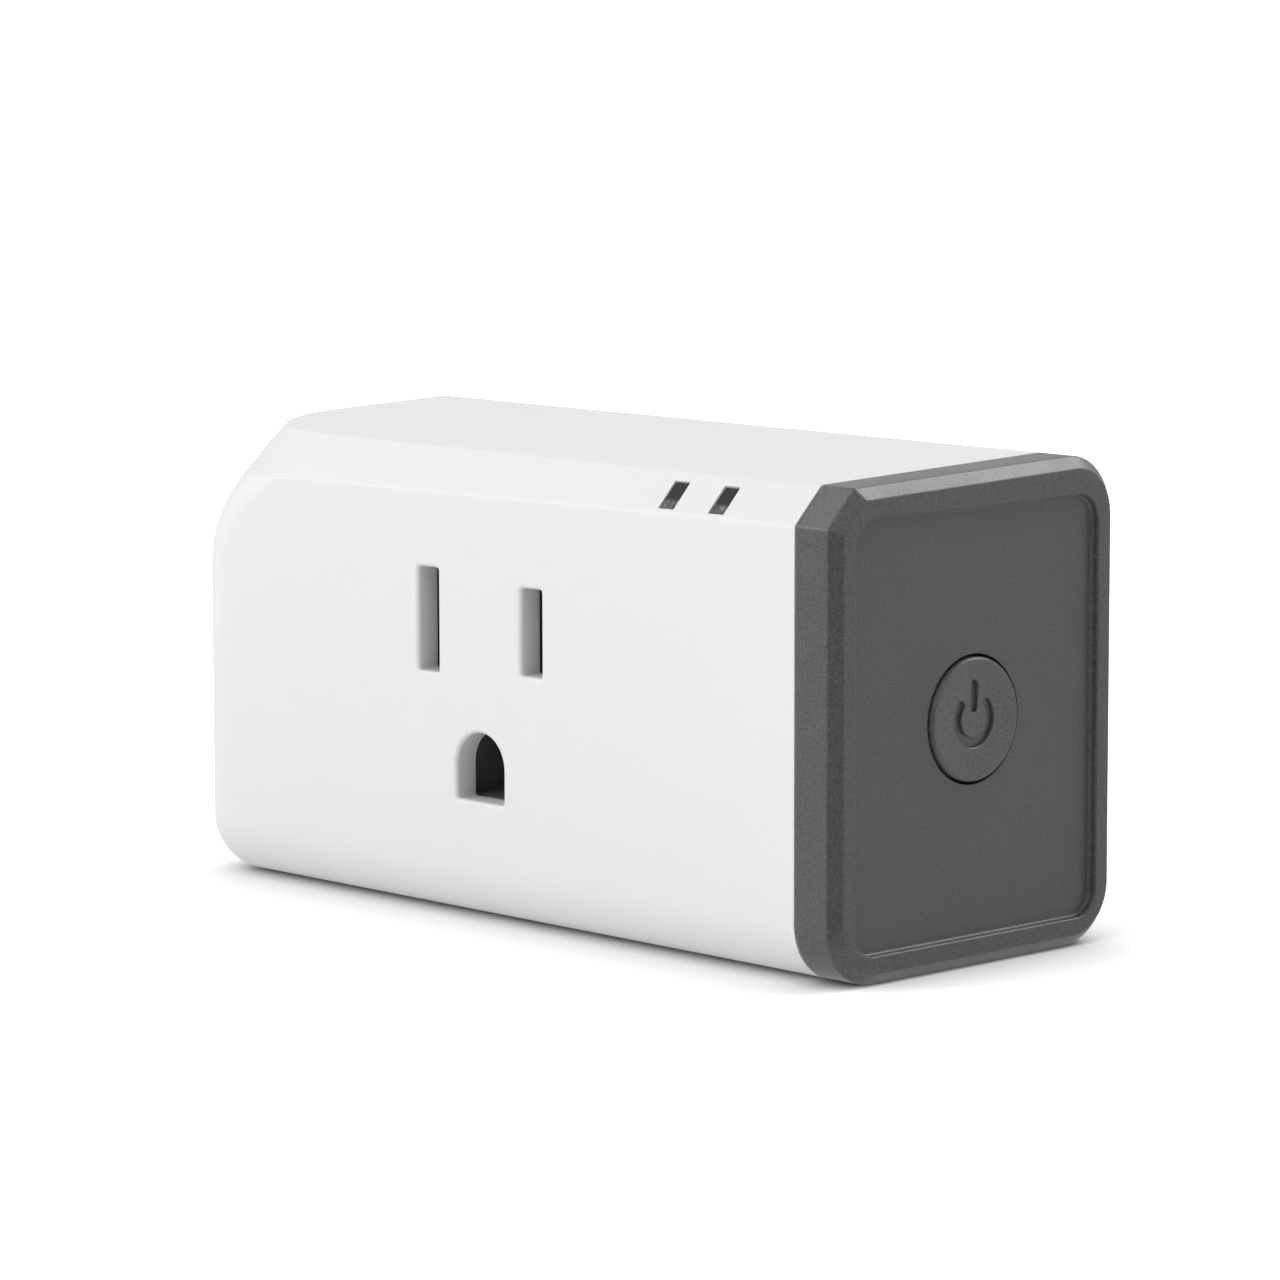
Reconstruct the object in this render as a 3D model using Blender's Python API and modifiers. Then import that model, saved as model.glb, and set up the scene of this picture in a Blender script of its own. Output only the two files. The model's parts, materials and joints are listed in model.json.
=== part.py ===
"""Smart plug with a power button in its end cap, as an assembly of separate pieces.

+X runs along the plug towards the end cap, -Y is the socket face, +Y is the side with the
prongs, +Z is up. The plug rests on its long bottom face, centred on the origin.
Sizes below are in millimetres, and MM turns them into Blender's metres.
"""

import math

import bmesh
import bpy
from mathutils import Matrix

MM = 0.001

# Outer shape
LENGTH = 79.3
DEPTH = 33.0
HEIGHT = 39.5
TOP_SLOPE = 0.03
CAP_LENGTH = 4.5
CORNER_RADIUS = 5.0
CHAMFER = 3.0
WALL = 2.2
FIT_GAP = 0.25

LEFT = -LENGTH / 2
RIGHT = LENGTH / 2
SEAM = RIGHT - CAP_LENGTH
FRONT = -DEPTH / 2
BACK = DEPTH / 2
REAR_HEIGHT = HEIGHT + TOP_SLOPE * (DEPTH - CHAMFER)
MIDDLE = (HEIGHT + REAR_HEIGHT) / 4

# Socket and prongs, on the usual three-pin grounded pattern
SOCKET_X = SEAM - 36.8
BLADE_PITCH = 12.7
BLADE_Z = 25.15
GROUND_Z = BLADE_Z - 11.9
NEUTRAL_X = SOCKET_X - BLADE_PITCH / 2
LINE_X = SOCKET_X + BLADE_PITCH / 2
SLOT_WIDTH = 2.5
NEUTRAL_SLOT_HEIGHT = 8.8
LINE_SLOT_HEIGHT = 7.3
GROUND_HOLE_WIDTH = 5.8
BLADE_MOUTH_Y = -13.2
GROUND_MOUTH_Y = -9.4
BLADE_THICKNESS = 1.5
NEUTRAL_BLADE_HEIGHT = 7.9
LINE_BLADE_HEIGHT = 6.35
BLADE_REACH = 17.5
GROUND_PIN_RADIUS = 2.38
GROUND_PIN_REACH = 20.6

# End cap and button
CAP_BEVEL = 0.9
RIM_INSET = 2.4
PANEL_CORNER = 2.1
PANEL_DEPTH = 0.72
PANEL_THICKNESS = 1.8
SPIGOT_LENGTH = 3.0
SPIGOT_WALL = 1.2
BUTTON_RADIUS = 5.04
BUTTON_GAP = 0.18
BUTTON_PROUD = 0.35
FLANGE_RADIUS = 6.2
GUIDE_RADII = (6.45, 7.6)
STEM_RADIUS = 1.6
STEM_END_X = 29.4
SYMBOL_RADIUS = 1.9
SYMBOL_STROKE = 0.75
SYMBOL_OPENING = (139, 401)
SYMBOL_BAR = (0.95, 2.8)

# Indicator windows in the chamfer
WINDOW_X = (SEAM - 14.77, SEAM - 9.09)
WINDOW_WIDTH = 1.77
WINDOW_LENGTH = 2.85
WINDOW_START = 0.14
PIPE_RECESS = 0.2
PIPE_END = 4.4

# Boards
MAIN_PCB_Y = (6.2, 7.8)
CONTROL_PCB_Y = (-10.6, -9.6)
BUTTON_PCB_X = (22.8, 24.0)
BUTTON_TABS = (15.0, 24.0)
HEADER_X = 27.6
HEADER_PINS = (23.9, 26.4, 28.9)
LEAD_END_Y = 8.6
SEAT_Y = 5.9

# Back opening, its cover and its screws
FRAME_WIDTH = 4.5
COVER_INSET = 3.0
COVER_INNER_Y = 14.1
COVER_POSTS = ((LEFT + 6.2, 6.0), (LEFT + 6.2, 33.4), (27.1, 6.0), (27.1, 33.4))
POST_RADIUS = 2.4
STANDOFFS = ((-17.0, 33.6), (13.6, 5.2))
STANDOFF_RADIUS = 2.2
COVER_SCREW_BORE = 1.15
PCB_SCREW_BORE = 0.95
COUNTERBORE_RADIUS = 2.15

# Transformer
TRANSFORMER_X = 16.5
TRANSFORMER_Z = 31.3

# Relay: u runs along X and v along Z from its centre, h is the height above its seat
RELAY_X = -28.0
RELAY_Z = 22.7
RELAY_PIVOT_V = -6.2
RELAY_PIVOT_H = 12.1
RELAY_SWING = 3.5

COLLECTION = "smart_plug"
CUTTERS = "cutters"


# ---------------------------------------------------------------- scene and materials


def clear_scene():
    for obj in list(bpy.data.objects):
        bpy.data.objects.remove(obj, do_unlink=True)


def add_collection(name):
    collection = bpy.data.collections.new(name)
    bpy.context.scene.collection.children.link(collection)
    return collection


def move_to(obj, collection_name):
    for collection in list(obj.users_collection):
        collection.objects.unlink(obj)
    bpy.data.collections[collection_name].objects.link(obj)


def principled(name, colour, roughness, metallic=0.0, alpha=1.0):
    material = bpy.data.materials.new(name)
    material.use_nodes = True
    shader = material.node_tree.nodes["Principled BSDF"]
    shader.inputs["Base Color"].default_value = (*colour, 1.0)
    shader.inputs["Roughness"].default_value = roughness
    shader.inputs["Metallic"].default_value = metallic
    shader.inputs["Alpha"].default_value = alpha
    material.diffuse_color = (*colour, alpha)
    return material


def white_plastic(name):
    return principled(name, (0.83, 0.83, 0.83), 0.45)


def grey_plastic(name):
    return principled(name, (0.12, 0.12, 0.12), 0.5)


def black_plastic(name):
    return principled(name, (0.03, 0.03, 0.03), 0.5)


def smoky_plastic(name):
    return principled(name, (0.10, 0.10, 0.10), 0.2)


def brass(name):
    return principled(name, (0.72, 0.52, 0.24), 0.3, 1.0)


def nickel(name):
    return principled(name, (0.74, 0.72, 0.68), 0.25, 1.0)


def steel(name):
    return principled(name, (0.62, 0.62, 0.62), 0.3, 1.0)


def copper(name):
    return principled(name, (0.72, 0.32, 0.16), 0.35, 1.0)


def circuit_board(name):
    return principled(name, (0.03, 0.18, 0.09), 0.4)


def ferrite(name):
    return principled(name, (0.05, 0.05, 0.055), 0.7)


def blue_resin(name):
    return principled(name, (0.04, 0.12, 0.35), 0.35)


def yellow_resin(name):
    return principled(name, (0.75, 0.55, 0.08), 0.4)


def sleeve(name):
    return principled(name, (0.06, 0.07, 0.10), 0.35)


def led_lens(name):
    return principled(name, (0.85, 0.83, 0.70), 0.3)


def finish_node(obj, name, make_material):
    obj.name = name
    obj.data.name = name
    obj.data.materials.clear()
    obj.data.materials.append(make_material(name))
    obj.data.shade_smooth()
    obj.data.set_sharp_from_angle(angle=math.radians(35))
    move_to(obj, COLLECTION)
    return obj


# ---------------------------------------------------------------- shapes


def block(x, y, z):
    """A box between three pairs of limits."""
    centre = [(pair[0] + pair[1]) / 2 * MM for pair in (x, y, z)]
    size = [(pair[1] - pair[0]) * MM for pair in (x, y, z)]
    bpy.ops.mesh.primitive_cube_add(size=1.0, location=centre)
    obj = bpy.context.object
    obj.scale = size
    bpy.ops.object.transform_apply(location=False, rotation=False, scale=True)
    return obj


AXIS_TURN = {
    "X": Matrix.Rotation(math.pi / 2, 4, "Y"),
    "Y": Matrix.Rotation(-math.pi / 2, 4, "X"),
    "Z": Matrix.Identity(4),
}


def rod(centre, radius, span, axis, segments=24):
    """A cylinder along an axis; centre gives the other two coordinates, in X, Y, Z order."""
    start, end = span
    bpy.ops.mesh.primitive_cylinder_add(
        vertices=segments, radius=radius * MM, depth=(end - start) * MM
    )
    obj = bpy.context.object
    place = list(centre)
    place.insert("XYZ".index(axis), (start + end) / 2)
    shift = Matrix.Translation([value * MM for value in place])
    obj.matrix_world = shift @ AXIS_TURN[axis]
    bpy.ops.object.transform_apply(location=False, rotation=True, scale=False)
    return obj


def arc(centre, radius, start, end, steps):
    """Points on an arc, angles in degrees."""
    points = []
    for step in range(steps + 1):
        angle = math.radians(start + (end - start) * step / steps)
        across = centre[0] + radius * math.cos(angle)
        up = centre[1] + radius * math.sin(angle)
        points.append((across, up))
    return points


# Where a drawn outline's own axes go: across, up and through
OUTLINE_TURN = {
    "X": Matrix(((0, 0, 1, 0), (1, 0, 0, 0), (0, 1, 0, 0), (0, 0, 0, 1))),
    "Y": Matrix.Rotation(math.pi / 2, 4, "X"),
    "Z": Matrix.Identity(4),
}


def prism(points, span, axis):
    """An outline pushed through along an axis: (y, z) for X, (x, z) for Y, (x, y) for Z."""
    curve = bpy.data.curves.new("outline", "CURVE")
    curve.dimensions = "2D"
    curve.fill_mode = "BOTH"
    curve.extrude = (span[1] - span[0]) / 2 * MM
    spline = curve.splines.new("POLY")
    spline.points.add(len(points) - 1)
    for spline_point, (across, up) in zip(spline.points, points):
        spline_point.co = (across * MM, up * MM, 0.0, 1.0)
    spline.use_cyclic_u = True
    drawn = bpy.data.objects.new("outline", curve)
    bpy.context.scene.collection.objects.link(drawn)
    bpy.context.view_layer.update()
    mesh = bpy.data.meshes.new_from_object(drawn)
    obj = bpy.data.objects.new("prism", mesh)
    bpy.context.scene.collection.objects.link(obj)
    middle = [0.0, 0.0, 0.0]
    middle["XYZ".index(axis)] = (span[0] + span[1]) / 2 * MM
    obj.matrix_world = Matrix.Translation(middle) @ OUTLINE_TURN[axis]
    bpy.data.objects.remove(drawn)
    bpy.data.curves.remove(curve)
    welder = bmesh.new()
    welder.from_mesh(mesh)
    bmesh.ops.remove_doubles(welder, verts=welder.verts, dist=0.000001)
    bmesh.ops.dissolve_limit(
        welder, angle_limit=0.001, verts=welder.verts, edges=welder.edges
    )
    bmesh.ops.recalc_face_normals(welder, faces=welder.faces)
    welder.to_mesh(mesh)
    welder.free()
    bpy.context.view_layer.update()
    return obj


def lathe(points, centre, axis, segments=32):
    """A turned piece: points are (radius, place along the axis), from the far end down."""
    mesh = bpy.data.meshes.new("turned")
    profile = bmesh.new()
    corners = [profile.verts.new((radius * MM, 0.0, along * MM)) for radius, along in points]
    for first, second in zip(corners, corners[1:]):
        profile.edges.new((first, second))
    profile.to_mesh(mesh)
    profile.free()
    obj = bpy.data.objects.new("turned", mesh)
    bpy.context.scene.collection.objects.link(obj)
    screw = obj.modifiers.new("turn", "SCREW")
    screw.axis = "Z"
    screw.steps = segments
    screw.render_steps = segments
    screw.use_merge_vertices = True
    screw.merge_threshold = 0.00001
    screw.use_smooth_shade = True
    place = list(centre)
    place.insert("XYZ".index(axis), 0.0)
    shift = Matrix.Translation([value * MM for value in place])
    obj.matrix_world = shift @ AXIS_TURN[axis]
    bpy.context.view_layer.update()
    return obj


def strip(path, z, thickness):
    """A bent metal strip: a path in X and Y, its height between the z limits."""
    mesh = bpy.data.meshes.new("strip")
    sheet = bmesh.new()
    corners = [sheet.verts.new((x * MM, y * MM, z[0] * MM)) for x, y in path]
    edges = [sheet.edges.new(pair) for pair in zip(corners, corners[1:])]
    raised = bmesh.ops.extrude_edge_only(sheet, edges=edges)
    top = [item for item in raised["geom"] if isinstance(item, bmesh.types.BMVert)]
    bmesh.ops.translate(sheet, verts=top, vec=(0.0, 0.0, (z[1] - z[0]) * MM))
    sheet.to_mesh(mesh)
    sheet.free()
    obj = bpy.data.objects.new("strip", mesh)
    bpy.context.scene.collection.objects.link(obj)
    solid = obj.modifiers.new("thickness", "SOLIDIFY")
    solid.thickness = thickness * MM
    solid.offset = 0.0
    solid.use_even_offset = True
    return obj


def combine(obj, tool, operation):
    """Add, cut or intersect with a hidden tool object."""
    tool.name = "cutter"
    tool.hide_render = True
    tool.display_type = "WIRE"
    move_to(tool, CUTTERS)
    boolean = obj.modifiers.new("boolean", "BOOLEAN")
    boolean.operation = operation
    boolean.solver = "EXACT"
    boolean.object = tool
    return obj


def add(obj, *tools):
    for tool in tools:
        combine(obj, tool, "UNION")
    return obj


def cut(obj, *tools):
    for tool in tools:
        combine(obj, tool, "DIFFERENCE")
    return obj


def round_edges(obj, radius, segments=2):
    bevel = obj.modifiers.new("rounding", "BEVEL")
    bevel.width = radius * MM
    bevel.segments = segments
    bevel.limit_method = "ANGLE"
    bevel.angle_limit = math.radians(40)
    return obj


# ---------------------------------------------------------------- the outer form


def profile(inset, slope=TOP_SLOPE, corner=None):
    """The plug seen along its length: three round corners and the chamfered top front edge.

    The top rises by the slope from the chamfer towards the back.
    """
    radius = corner or max(CORNER_RADIUS - inset, 0.4)
    near = inset + radius
    shift = inset * math.tan(math.radians(22.5))
    top = HEIGHT + slope * (DEPTH - CHAMFER - near)
    points = arc((FRONT + near, near), radius, 180, 270, 8)
    points += arc((BACK - near, near), radius, 270, 360, 8)
    points += arc((BACK - near, top - near), radius, 0, 90, 8)
    points.append((FRONT + CHAMFER + shift, HEIGHT - inset))
    points.append((FRONT + inset, HEIGHT - CHAMFER - shift))
    return points


def bevel_end(obj, x, offset, segments):
    """Bevel the edge loop at one end of a prism along X."""
    shaper = bmesh.new()
    shaper.from_mesh(obj.data)
    shaper.transform(obj.matrix_world)
    shaper.normal_update()
    loop = [
        edge
        for edge in shaper.edges
        if all(abs(vert.co.x - x * MM) < 0.000001 for vert in edge.verts)
    ]
    bmesh.ops.bevel(
        shaper,
        geom=loop,
        offset=offset * MM,
        segments=segments,
        profile=0.5,
        affect="EDGES",
        clamp_overlap=False,
    )
    shaper.transform(obj.matrix_world.inverted())
    shaper.to_mesh(obj.data)
    shaper.free()
    return obj


def rounded_body(inset, end):
    """The housing's form: round along three edges and all round its closed left end."""
    shift = inset * math.tan(math.radians(22.5))
    low = FRONT + inset, inset
    high = BACK - inset, REAR_HEIGHT - inset
    square = [low, (high[0], low[1]), high]
    chamfer = [(FRONT + CHAMFER + shift, HEIGHT - inset)]
    chamfer.append((low[0], HEIGHT - CHAMFER - shift))
    left = LEFT + inset
    body = prism(square + chamfer, (left, end), "X")
    shaper = bmesh.new()
    shaper.from_mesh(body.data)
    shaper.transform(body.matrix_world)
    shaper.normal_update()
    chosen = []
    for edge in shaper.edges:
        first, second = (vert.co / MM for vert in edge.verts)
        at_end = abs(first.x - left) < 0.001 and abs(second.x - left) < 0.001
        along = abs(first.x - second.x) > 1.0
        at_corner = any(math.dist((first.y, first.z), corner) < 0.001 for corner in square)
        if at_end or (along and at_corner):
            chosen.append(edge)
    bmesh.ops.bevel(
        shaper,
        geom=chosen,
        offset=(CORNER_RADIUS - inset) * MM,
        segments=6,
        profile=0.5,
        affect="EDGES",
        clamp_overlap=False,
    )
    shaper.transform(body.matrix_world.inverted())
    shaper.to_mesh(body.data)
    shaper.free()
    return body


def outer_body():
    return rounded_body(0.0, SEAM)


def cavity():
    return rounded_body(WALL, SEAM + 1.0)


def arched_hole(span):
    """The ground opening: flat at the bottom, round at the top."""
    half = GROUND_HOLE_WIDTH / 2
    points = arc((SOCKET_X, GROUND_Z), half, 0, 180, 12)
    points.append((SOCKET_X - half, GROUND_Z - half))
    points.append((SOCKET_X + half, GROUND_Z - half))
    return prism(points, span, "Y")


def contact_openings():
    through = (FRONT - 1.0, FRONT + WALL + 1.0)
    half = SLOT_WIDTH / 2
    slots = []
    for x, height in ((NEUTRAL_X, NEUTRAL_SLOT_HEIGHT), (LINE_X, LINE_SLOT_HEIGHT)):
        upright = (BLADE_Z - height / 2, BLADE_Z + height / 2)
        slots.append(block((x - half, x + half), through, upright))
    return (*slots, arched_hole(through))


def window_bar(x, width, length, start, end):
    """A bar that lies square to the chamfer, between two depths below its face."""
    along = WINDOW_START + WINDOW_LENGTH / 2
    bpy.ops.mesh.primitive_cube_add(size=1.0)
    bar = bpy.context.object
    bar.scale = (width * MM, length * MM, (end - start) * MM)
    bpy.ops.object.transform_apply(location=False, rotation=False, scale=True)
    depth = (start + end) / 2
    diagonal = math.sqrt(0.5)
    y = FRONT + (along + depth) * diagonal
    z = HEIGHT - CHAMFER + (along - depth) * diagonal
    shift = Matrix.Translation((x * MM, y * MM, z * MM))
    bar.matrix_world = shift @ Matrix.Rotation(math.radians(45), 4, "X")
    bpy.ops.object.transform_apply(location=False, rotation=True, scale=False)
    return bar


# ---------------------------------------------------------------- shells


def cover_post(x, z):
    """A post with two ribs that tie it to the nearest walls."""
    span = (MAIN_PCB_Y[1] + 0.3, COVER_INNER_Y - 0.2)
    pieces = [rod((x, z), POST_RADIUS, span, "Y")]
    wall_z = WALL - 0.5 if z < MIDDLE else REAR_HEIGHT - WALL + 0.2
    pieces.append(block((x - 0.7, x + 0.7), span, (min(z, wall_z), max(z, wall_z))))
    if x < 0:
        pieces.append(block((LEFT + WALL - 0.5, x), span, (z - 0.7, z + 0.7)))
    return pieces


def front_housing():
    shell = outer_body()
    cut(shell, cavity())
    opening_x = (LEFT + COVER_INSET, SEAM - FRAME_WIDTH)
    opening_z = (COVER_INSET, REAR_HEIGHT - COVER_INSET)
    cut(shell, block(opening_x, (BACK - 6.0, BACK + 1.0), opening_z))
    for x, z in COVER_POSTS:
        add(shell, *cover_post(x, z))
        cut(shell, rod((x, z), COVER_SCREW_BORE, (9.6, BACK), "Y", 16))
    for x, z in STANDOFFS:
        add(shell, rod((x, z), STANDOFF_RADIUS, (FRONT + 1.0, MAIN_PCB_Y[0] - 0.2), "Y"))
        cut(shell, rod((x, z), PCB_SCREW_BORE, (0.0, MAIN_PCB_Y[0] + 1.0), "Y", 16))
    cut(shell, *contact_openings())
    for x in WINDOW_X:
        cut(shell, window_bar(x, WINDOW_WIDTH, WINDOW_LENGTH, -1.0, 3.4))
    finish_node(shell, "front_housing", white_plastic)


def rear_cover():
    edge = COVER_INSET + FIT_GAP
    x = (LEFT + edge, SEAM - FRAME_WIDTH - FIT_GAP)
    plate = block(x, (COVER_INNER_Y, BACK + 1.0), (edge, REAR_HEIGHT - edge))
    combine(plate, outer_body(), "INTERSECT")
    boss = block(
        (SOCKET_X - 10.5, SOCKET_X + 10.5), (9.6, COVER_INNER_Y + 0.5), (8.6, 31.0)
    )
    add(plate, boss)
    through = (8.0, BACK + 2.0)
    clearance = 0.2
    half = BLADE_THICKNESS / 2 + clearance
    for x, height in ((NEUTRAL_X, NEUTRAL_BLADE_HEIGHT), (LINE_X, LINE_BLADE_HEIGHT)):
        reach = height / 2 + clearance
        slot = block((x - half, x + half), through, (BLADE_Z - reach, BLADE_Z + reach))
        cut(plate, slot)
    cut(plate, rod((SOCKET_X, GROUND_Z), GROUND_PIN_RADIUS + clearance, through, "Y", 32))
    for x, z in COVER_POSTS:
        cut(plate, rod((x, z), 1.25, through, "Y", 16))
        cut(plate, rod((x, z), COUNTERBORE_RADIUS, (BACK - 1.5, BACK + 2.0), "Y", 24))
    finish_node(plate, "rear_cover", white_plastic)


def end_cap():
    shell = prism(profile(0.0), (SEAM + 0.2, RIGHT), "X")
    bevel_end(shell, RIGHT, CAP_BEVEL, 1)
    spigot_inset = WALL + FIT_GAP
    add(shell, prism(profile(spigot_inset), (SEAM - SPIGOT_LENGTH, SEAM + 1.0), "X"))
    panel_back = RIGHT - PANEL_DEPTH - PANEL_THICKNESS
    core = prism(profile(spigot_inset + SPIGOT_WALL), (SEAM - 5.0, panel_back), "X")
    cut(shell, core)
    panel = profile(RIM_INSET, 0.0, PANEL_CORNER)
    cut(shell, prism(panel, (RIGHT - PANEL_DEPTH, RIGHT + 1.0), "X"))
    guide = rod((0.0, MIDDLE), GUIDE_RADII[1], (panel_back - 3.2, panel_back + 0.4), "X", 40)
    add(shell, guide)
    cut(shell, rod((0.0, MIDDLE), GUIDE_RADII[0], (panel_back - 4.0, panel_back), "X", 40))
    hole = BUTTON_RADIUS + BUTTON_GAP
    cut(shell, rod((0.0, MIDDLE), hole, (panel_back - 1.0, RIGHT + 1.0), "X", 48))
    finish_node(shell, "end_cap", grey_plastic)


def symbol_ring(span):
    """The open ring of the power symbol."""
    outer = SYMBOL_RADIUS + SYMBOL_STROKE / 2
    inner = SYMBOL_RADIUS - SYMBOL_STROKE / 2
    start, end = SYMBOL_OPENING
    points = arc((0.0, MIDDLE), outer, start, end, 28)
    points += arc((0.0, MIDDLE), inner, end, start, 28)
    return prism(points, span, "X")


def symbol_bar(span):
    """The upright bar of the power symbol, with round ends."""
    half = SYMBOL_STROKE / 2
    low, high = SYMBOL_BAR
    points = arc((0.0, MIDDLE + high), half, 0, 180, 8)
    points += arc((0.0, MIDDLE + low), half, 180, 360, 8)
    return prism(points, span, "X")


def power_button():
    face = RIGHT - PANEL_DEPTH + BUTTON_PROUD
    dish = 0.25
    edge = 0.35
    back = RIGHT - PANEL_DEPTH - PANEL_THICKNESS - 0.35
    rim = BUTTON_RADIUS - edge
    points = []
    for step in range(7):
        share = step / 6
        points.append((rim * share, face - dish * (1 - share * share)))
    points += arc((rim, face - edge), edge, 90, 0, 4)[1:]
    points += [(BUTTON_RADIUS, back), (FLANGE_RADIUS, back), (FLANGE_RADIUS, back - 1.0)]
    points += [(STEM_RADIUS, back - 1.0), (STEM_RADIUS, STEM_END_X), (0.0, STEM_END_X)]
    button = lathe(points, (0.0, MIDDLE), "X", 48)
    engraved = (face - dish - 0.35, face + 1.0)
    cut(button, symbol_ring(engraved), symbol_bar(engraved))
    finish_node(button, "power_button", grey_plastic)


def light_pipe(name, x):
    length = WINDOW_LENGTH - 0.2
    pipe = window_bar(x, WINDOW_WIDTH - 0.2, length, PIPE_RECESS, PIPE_END)
    finish_node(pipe, name, smoky_plastic)


# ---------------------------------------------------------------- socket and prongs


def receptacle_holder():
    holder = block((SOCKET_X - 11.0, SOCKET_X + 11.0), (-14.0, 5.6), (8.4, 31.6))
    round_edges(holder, 0.6)
    through = (-15.0, 6.6)
    for x in (NEUTRAL_X, LINE_X):
        cut(holder, block((x - 3.0, x + 3.0), through, (BLADE_Z - 4.6, BLADE_Z + 4.6)))
    ground_x = (SOCKET_X - 4.0, SOCKET_X + 4.0)
    cut(holder, block(ground_x, through, (GROUND_Z - 2.9, GROUND_Z + 2.9)))
    finish_node(holder, "receptacle_holder", black_plastic)


def spring_path(x, pinch, half, mouth):
    """Two leaves that close in on the prong and flare at the mouth, joined at the back."""
    side = [
        (pinch + 0.8, mouth),
        (pinch, mouth + 2.6),
        (pinch + 0.3, mouth + 5.7),
        (half, mouth + 11.2),
        (half, 4.6),
    ]
    right = [(x + across, y) for across, y in side]
    left = [(x - across, y) for across, y in reversed(side)]
    return right + left


def blade_contact(name, x, half_height):
    z = (BLADE_Z - half_height, BLADE_Z + half_height)
    contact = strip(spring_path(x, 0.95, 2.4, BLADE_MOUTH_Y), z, 0.5)
    add(contact, block((x - 1.0, x + 1.0), (4.5, 8.1), (BLADE_Z - 3.0, BLADE_Z - 0.8)))
    finish_node(contact, name, brass)


def ground_contact():
    z = (GROUND_Z - 2.0, GROUND_Z + 2.0)
    contact = strip(spring_path(SOCKET_X, 2.5, 3.1, GROUND_MOUTH_Y), z, 0.5)
    add(
        contact,
        block((SOCKET_X + 2.2, SOCKET_X + 3.0), (4.5, 8.1), (GROUND_Z - 1, GROUND_Z + 1)),
    )
    finish_node(contact, "ground_contact", brass)


def prong_blade(name, x, height):
    """A flat prong with a clipped tip and a hole, a foot behind the cover and a solder tail."""
    half = BLADE_THICKNESS / 2
    tip = BACK + BLADE_REACH
    low = BLADE_Z - height / 2
    high = BLADE_Z + height / 2
    clip = 1.4
    outline = [(9.0, low), (tip - clip, low), (tip, low + clip)]
    outline += [(tip, high - clip), (tip - clip, high), (9.0, high)]
    blade = prism(outline, (x - half, x + half), "X")
    cut(blade, rod((BACK + 11.9, BLADE_Z), 1.6, (x - 2.0, x + 2.0), "X", 24))
    add(blade, block((x - 2.0, x + 2.0), (8.3, 9.3), (low, high)))
    add(blade, block((x - 0.6, x + 0.6), (5.4, 8.8), (BLADE_Z + 0.8, BLADE_Z + 3.0)))
    finish_node(blade, name, nickel)


def ground_pin():
    tip = BACK + GROUND_PIN_REACH
    radius = GROUND_PIN_RADIUS
    dome = arc((0.0, tip - radius), radius, 90, 0, 6)
    points = [(max(across, 0.0), along) for across, along in dome]
    points += [(radius, 9.3), (3.5, 9.3), (3.5, 8.3), (1.5, 8.3), (1.5, 5.2), (0.0, 5.2)]
    points[0] = (0.0, tip)
    pin = lathe(points, (SOCKET_X, GROUND_Z), "Y", 32)
    finish_node(pin, "ground_pin", nickel)


# ---------------------------------------------------------------- screws


def screw(name, x, z, head_top, head_height, head_radius, shank_radius, length):
    """A pan head screw along Y with a cross recess."""
    under = head_top - head_height
    points = [(0.0, head_top), (head_radius * 0.6, head_top)]
    points += [(head_radius, head_top - head_height * 0.5), (head_radius, under)]
    points += [(shank_radius, under), (shank_radius, under - length + 0.6)]
    points.append((0.0, under - length))
    piece = lathe(points, (x, z), "Y", 20)
    recess = (head_top - head_height * 0.6, head_top + 1.0)
    arm = head_radius * 0.55
    cut(piece, block((x - arm, x + arm), recess, (z - 0.2, z + 0.2)))
    cut(piece, block((x - 0.2, x + 0.2), recess, (z - arm, z + arm)))
    finish_node(piece, name, steel)


def cover_screws():
    for number, (x, z) in enumerate(COVER_POSTS, start=1):
        screw(f"cover_screw_{number}", x, z, BACK - 0.3, 1.1, 1.9, 1.0, 4.6)


def pcb_screws():
    for number, (x, z) in enumerate(STANDOFFS, start=1):
        screw(f"pcb_screw_{number}", x, z, MAIN_PCB_Y[1] + 1.1, 1.0, 1.8, 0.8, 6.6)


# ---------------------------------------------------------------- parts on the main board

LEAD_HOLES = []


def leads(obj, places, start=SEAT_Y - 0.6, size=0.6):
    """Square leads through the main board, and a note of where its holes go."""
    half = size / 2
    for x, z in places:
        add(obj, block((x - half, x + half), (start, LEAD_END_Y), (z - half, z + half)))
        LEAD_HOLES.append((x, z, half + 0.2, half + 0.2))


def can_capacitor(name, x, z, radius, height):
    top = SEAT_Y - height
    points = [(0.0, SEAT_Y), (radius - 0.4, SEAT_Y), (radius, SEAT_Y - 0.4)]
    points += [(radius, SEAT_Y - 1.2), (radius - 0.35, SEAT_Y - 1.6)]
    points += [(radius, SEAT_Y - 2.0), (radius, top + 0.5), (radius - 0.5, top)]
    points += [(radius - 1.0, top), (radius - 1.1, top + 0.25), (0.0, top + 0.25)]
    can = lathe(points, (x, z), "Y", 32)
    pitch = radius * 0.45
    leads(can, ((x - pitch, z), (x + pitch, z)), SEAT_Y - 1.0)
    finish_node(can, name, sleeve)


def x_capacitor():
    x, z = -17.1, 21.5
    case = block((x - 2.5, x + 2.5), (SEAT_Y - 11.0, SEAT_Y), (z - 6.5, z + 6.5))
    round_edges(case, 0.5)
    leads(case, ((x, z - 5.0), (x, z + 5.0)))
    finish_node(case, "x_capacitor", yellow_resin)


def varistor():
    x, z, y = -17.1, 9.2, -0.2
    disc = rod((y, z), 4.5, (x - 1.7, x + 1.7), "X", 32)
    round_edges(disc, 0.8, 3)
    leads(disc, ((x, z - 2.5), (x, z + 2.5)), 2.0)
    finish_node(disc, "varistor", blue_resin)


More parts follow.
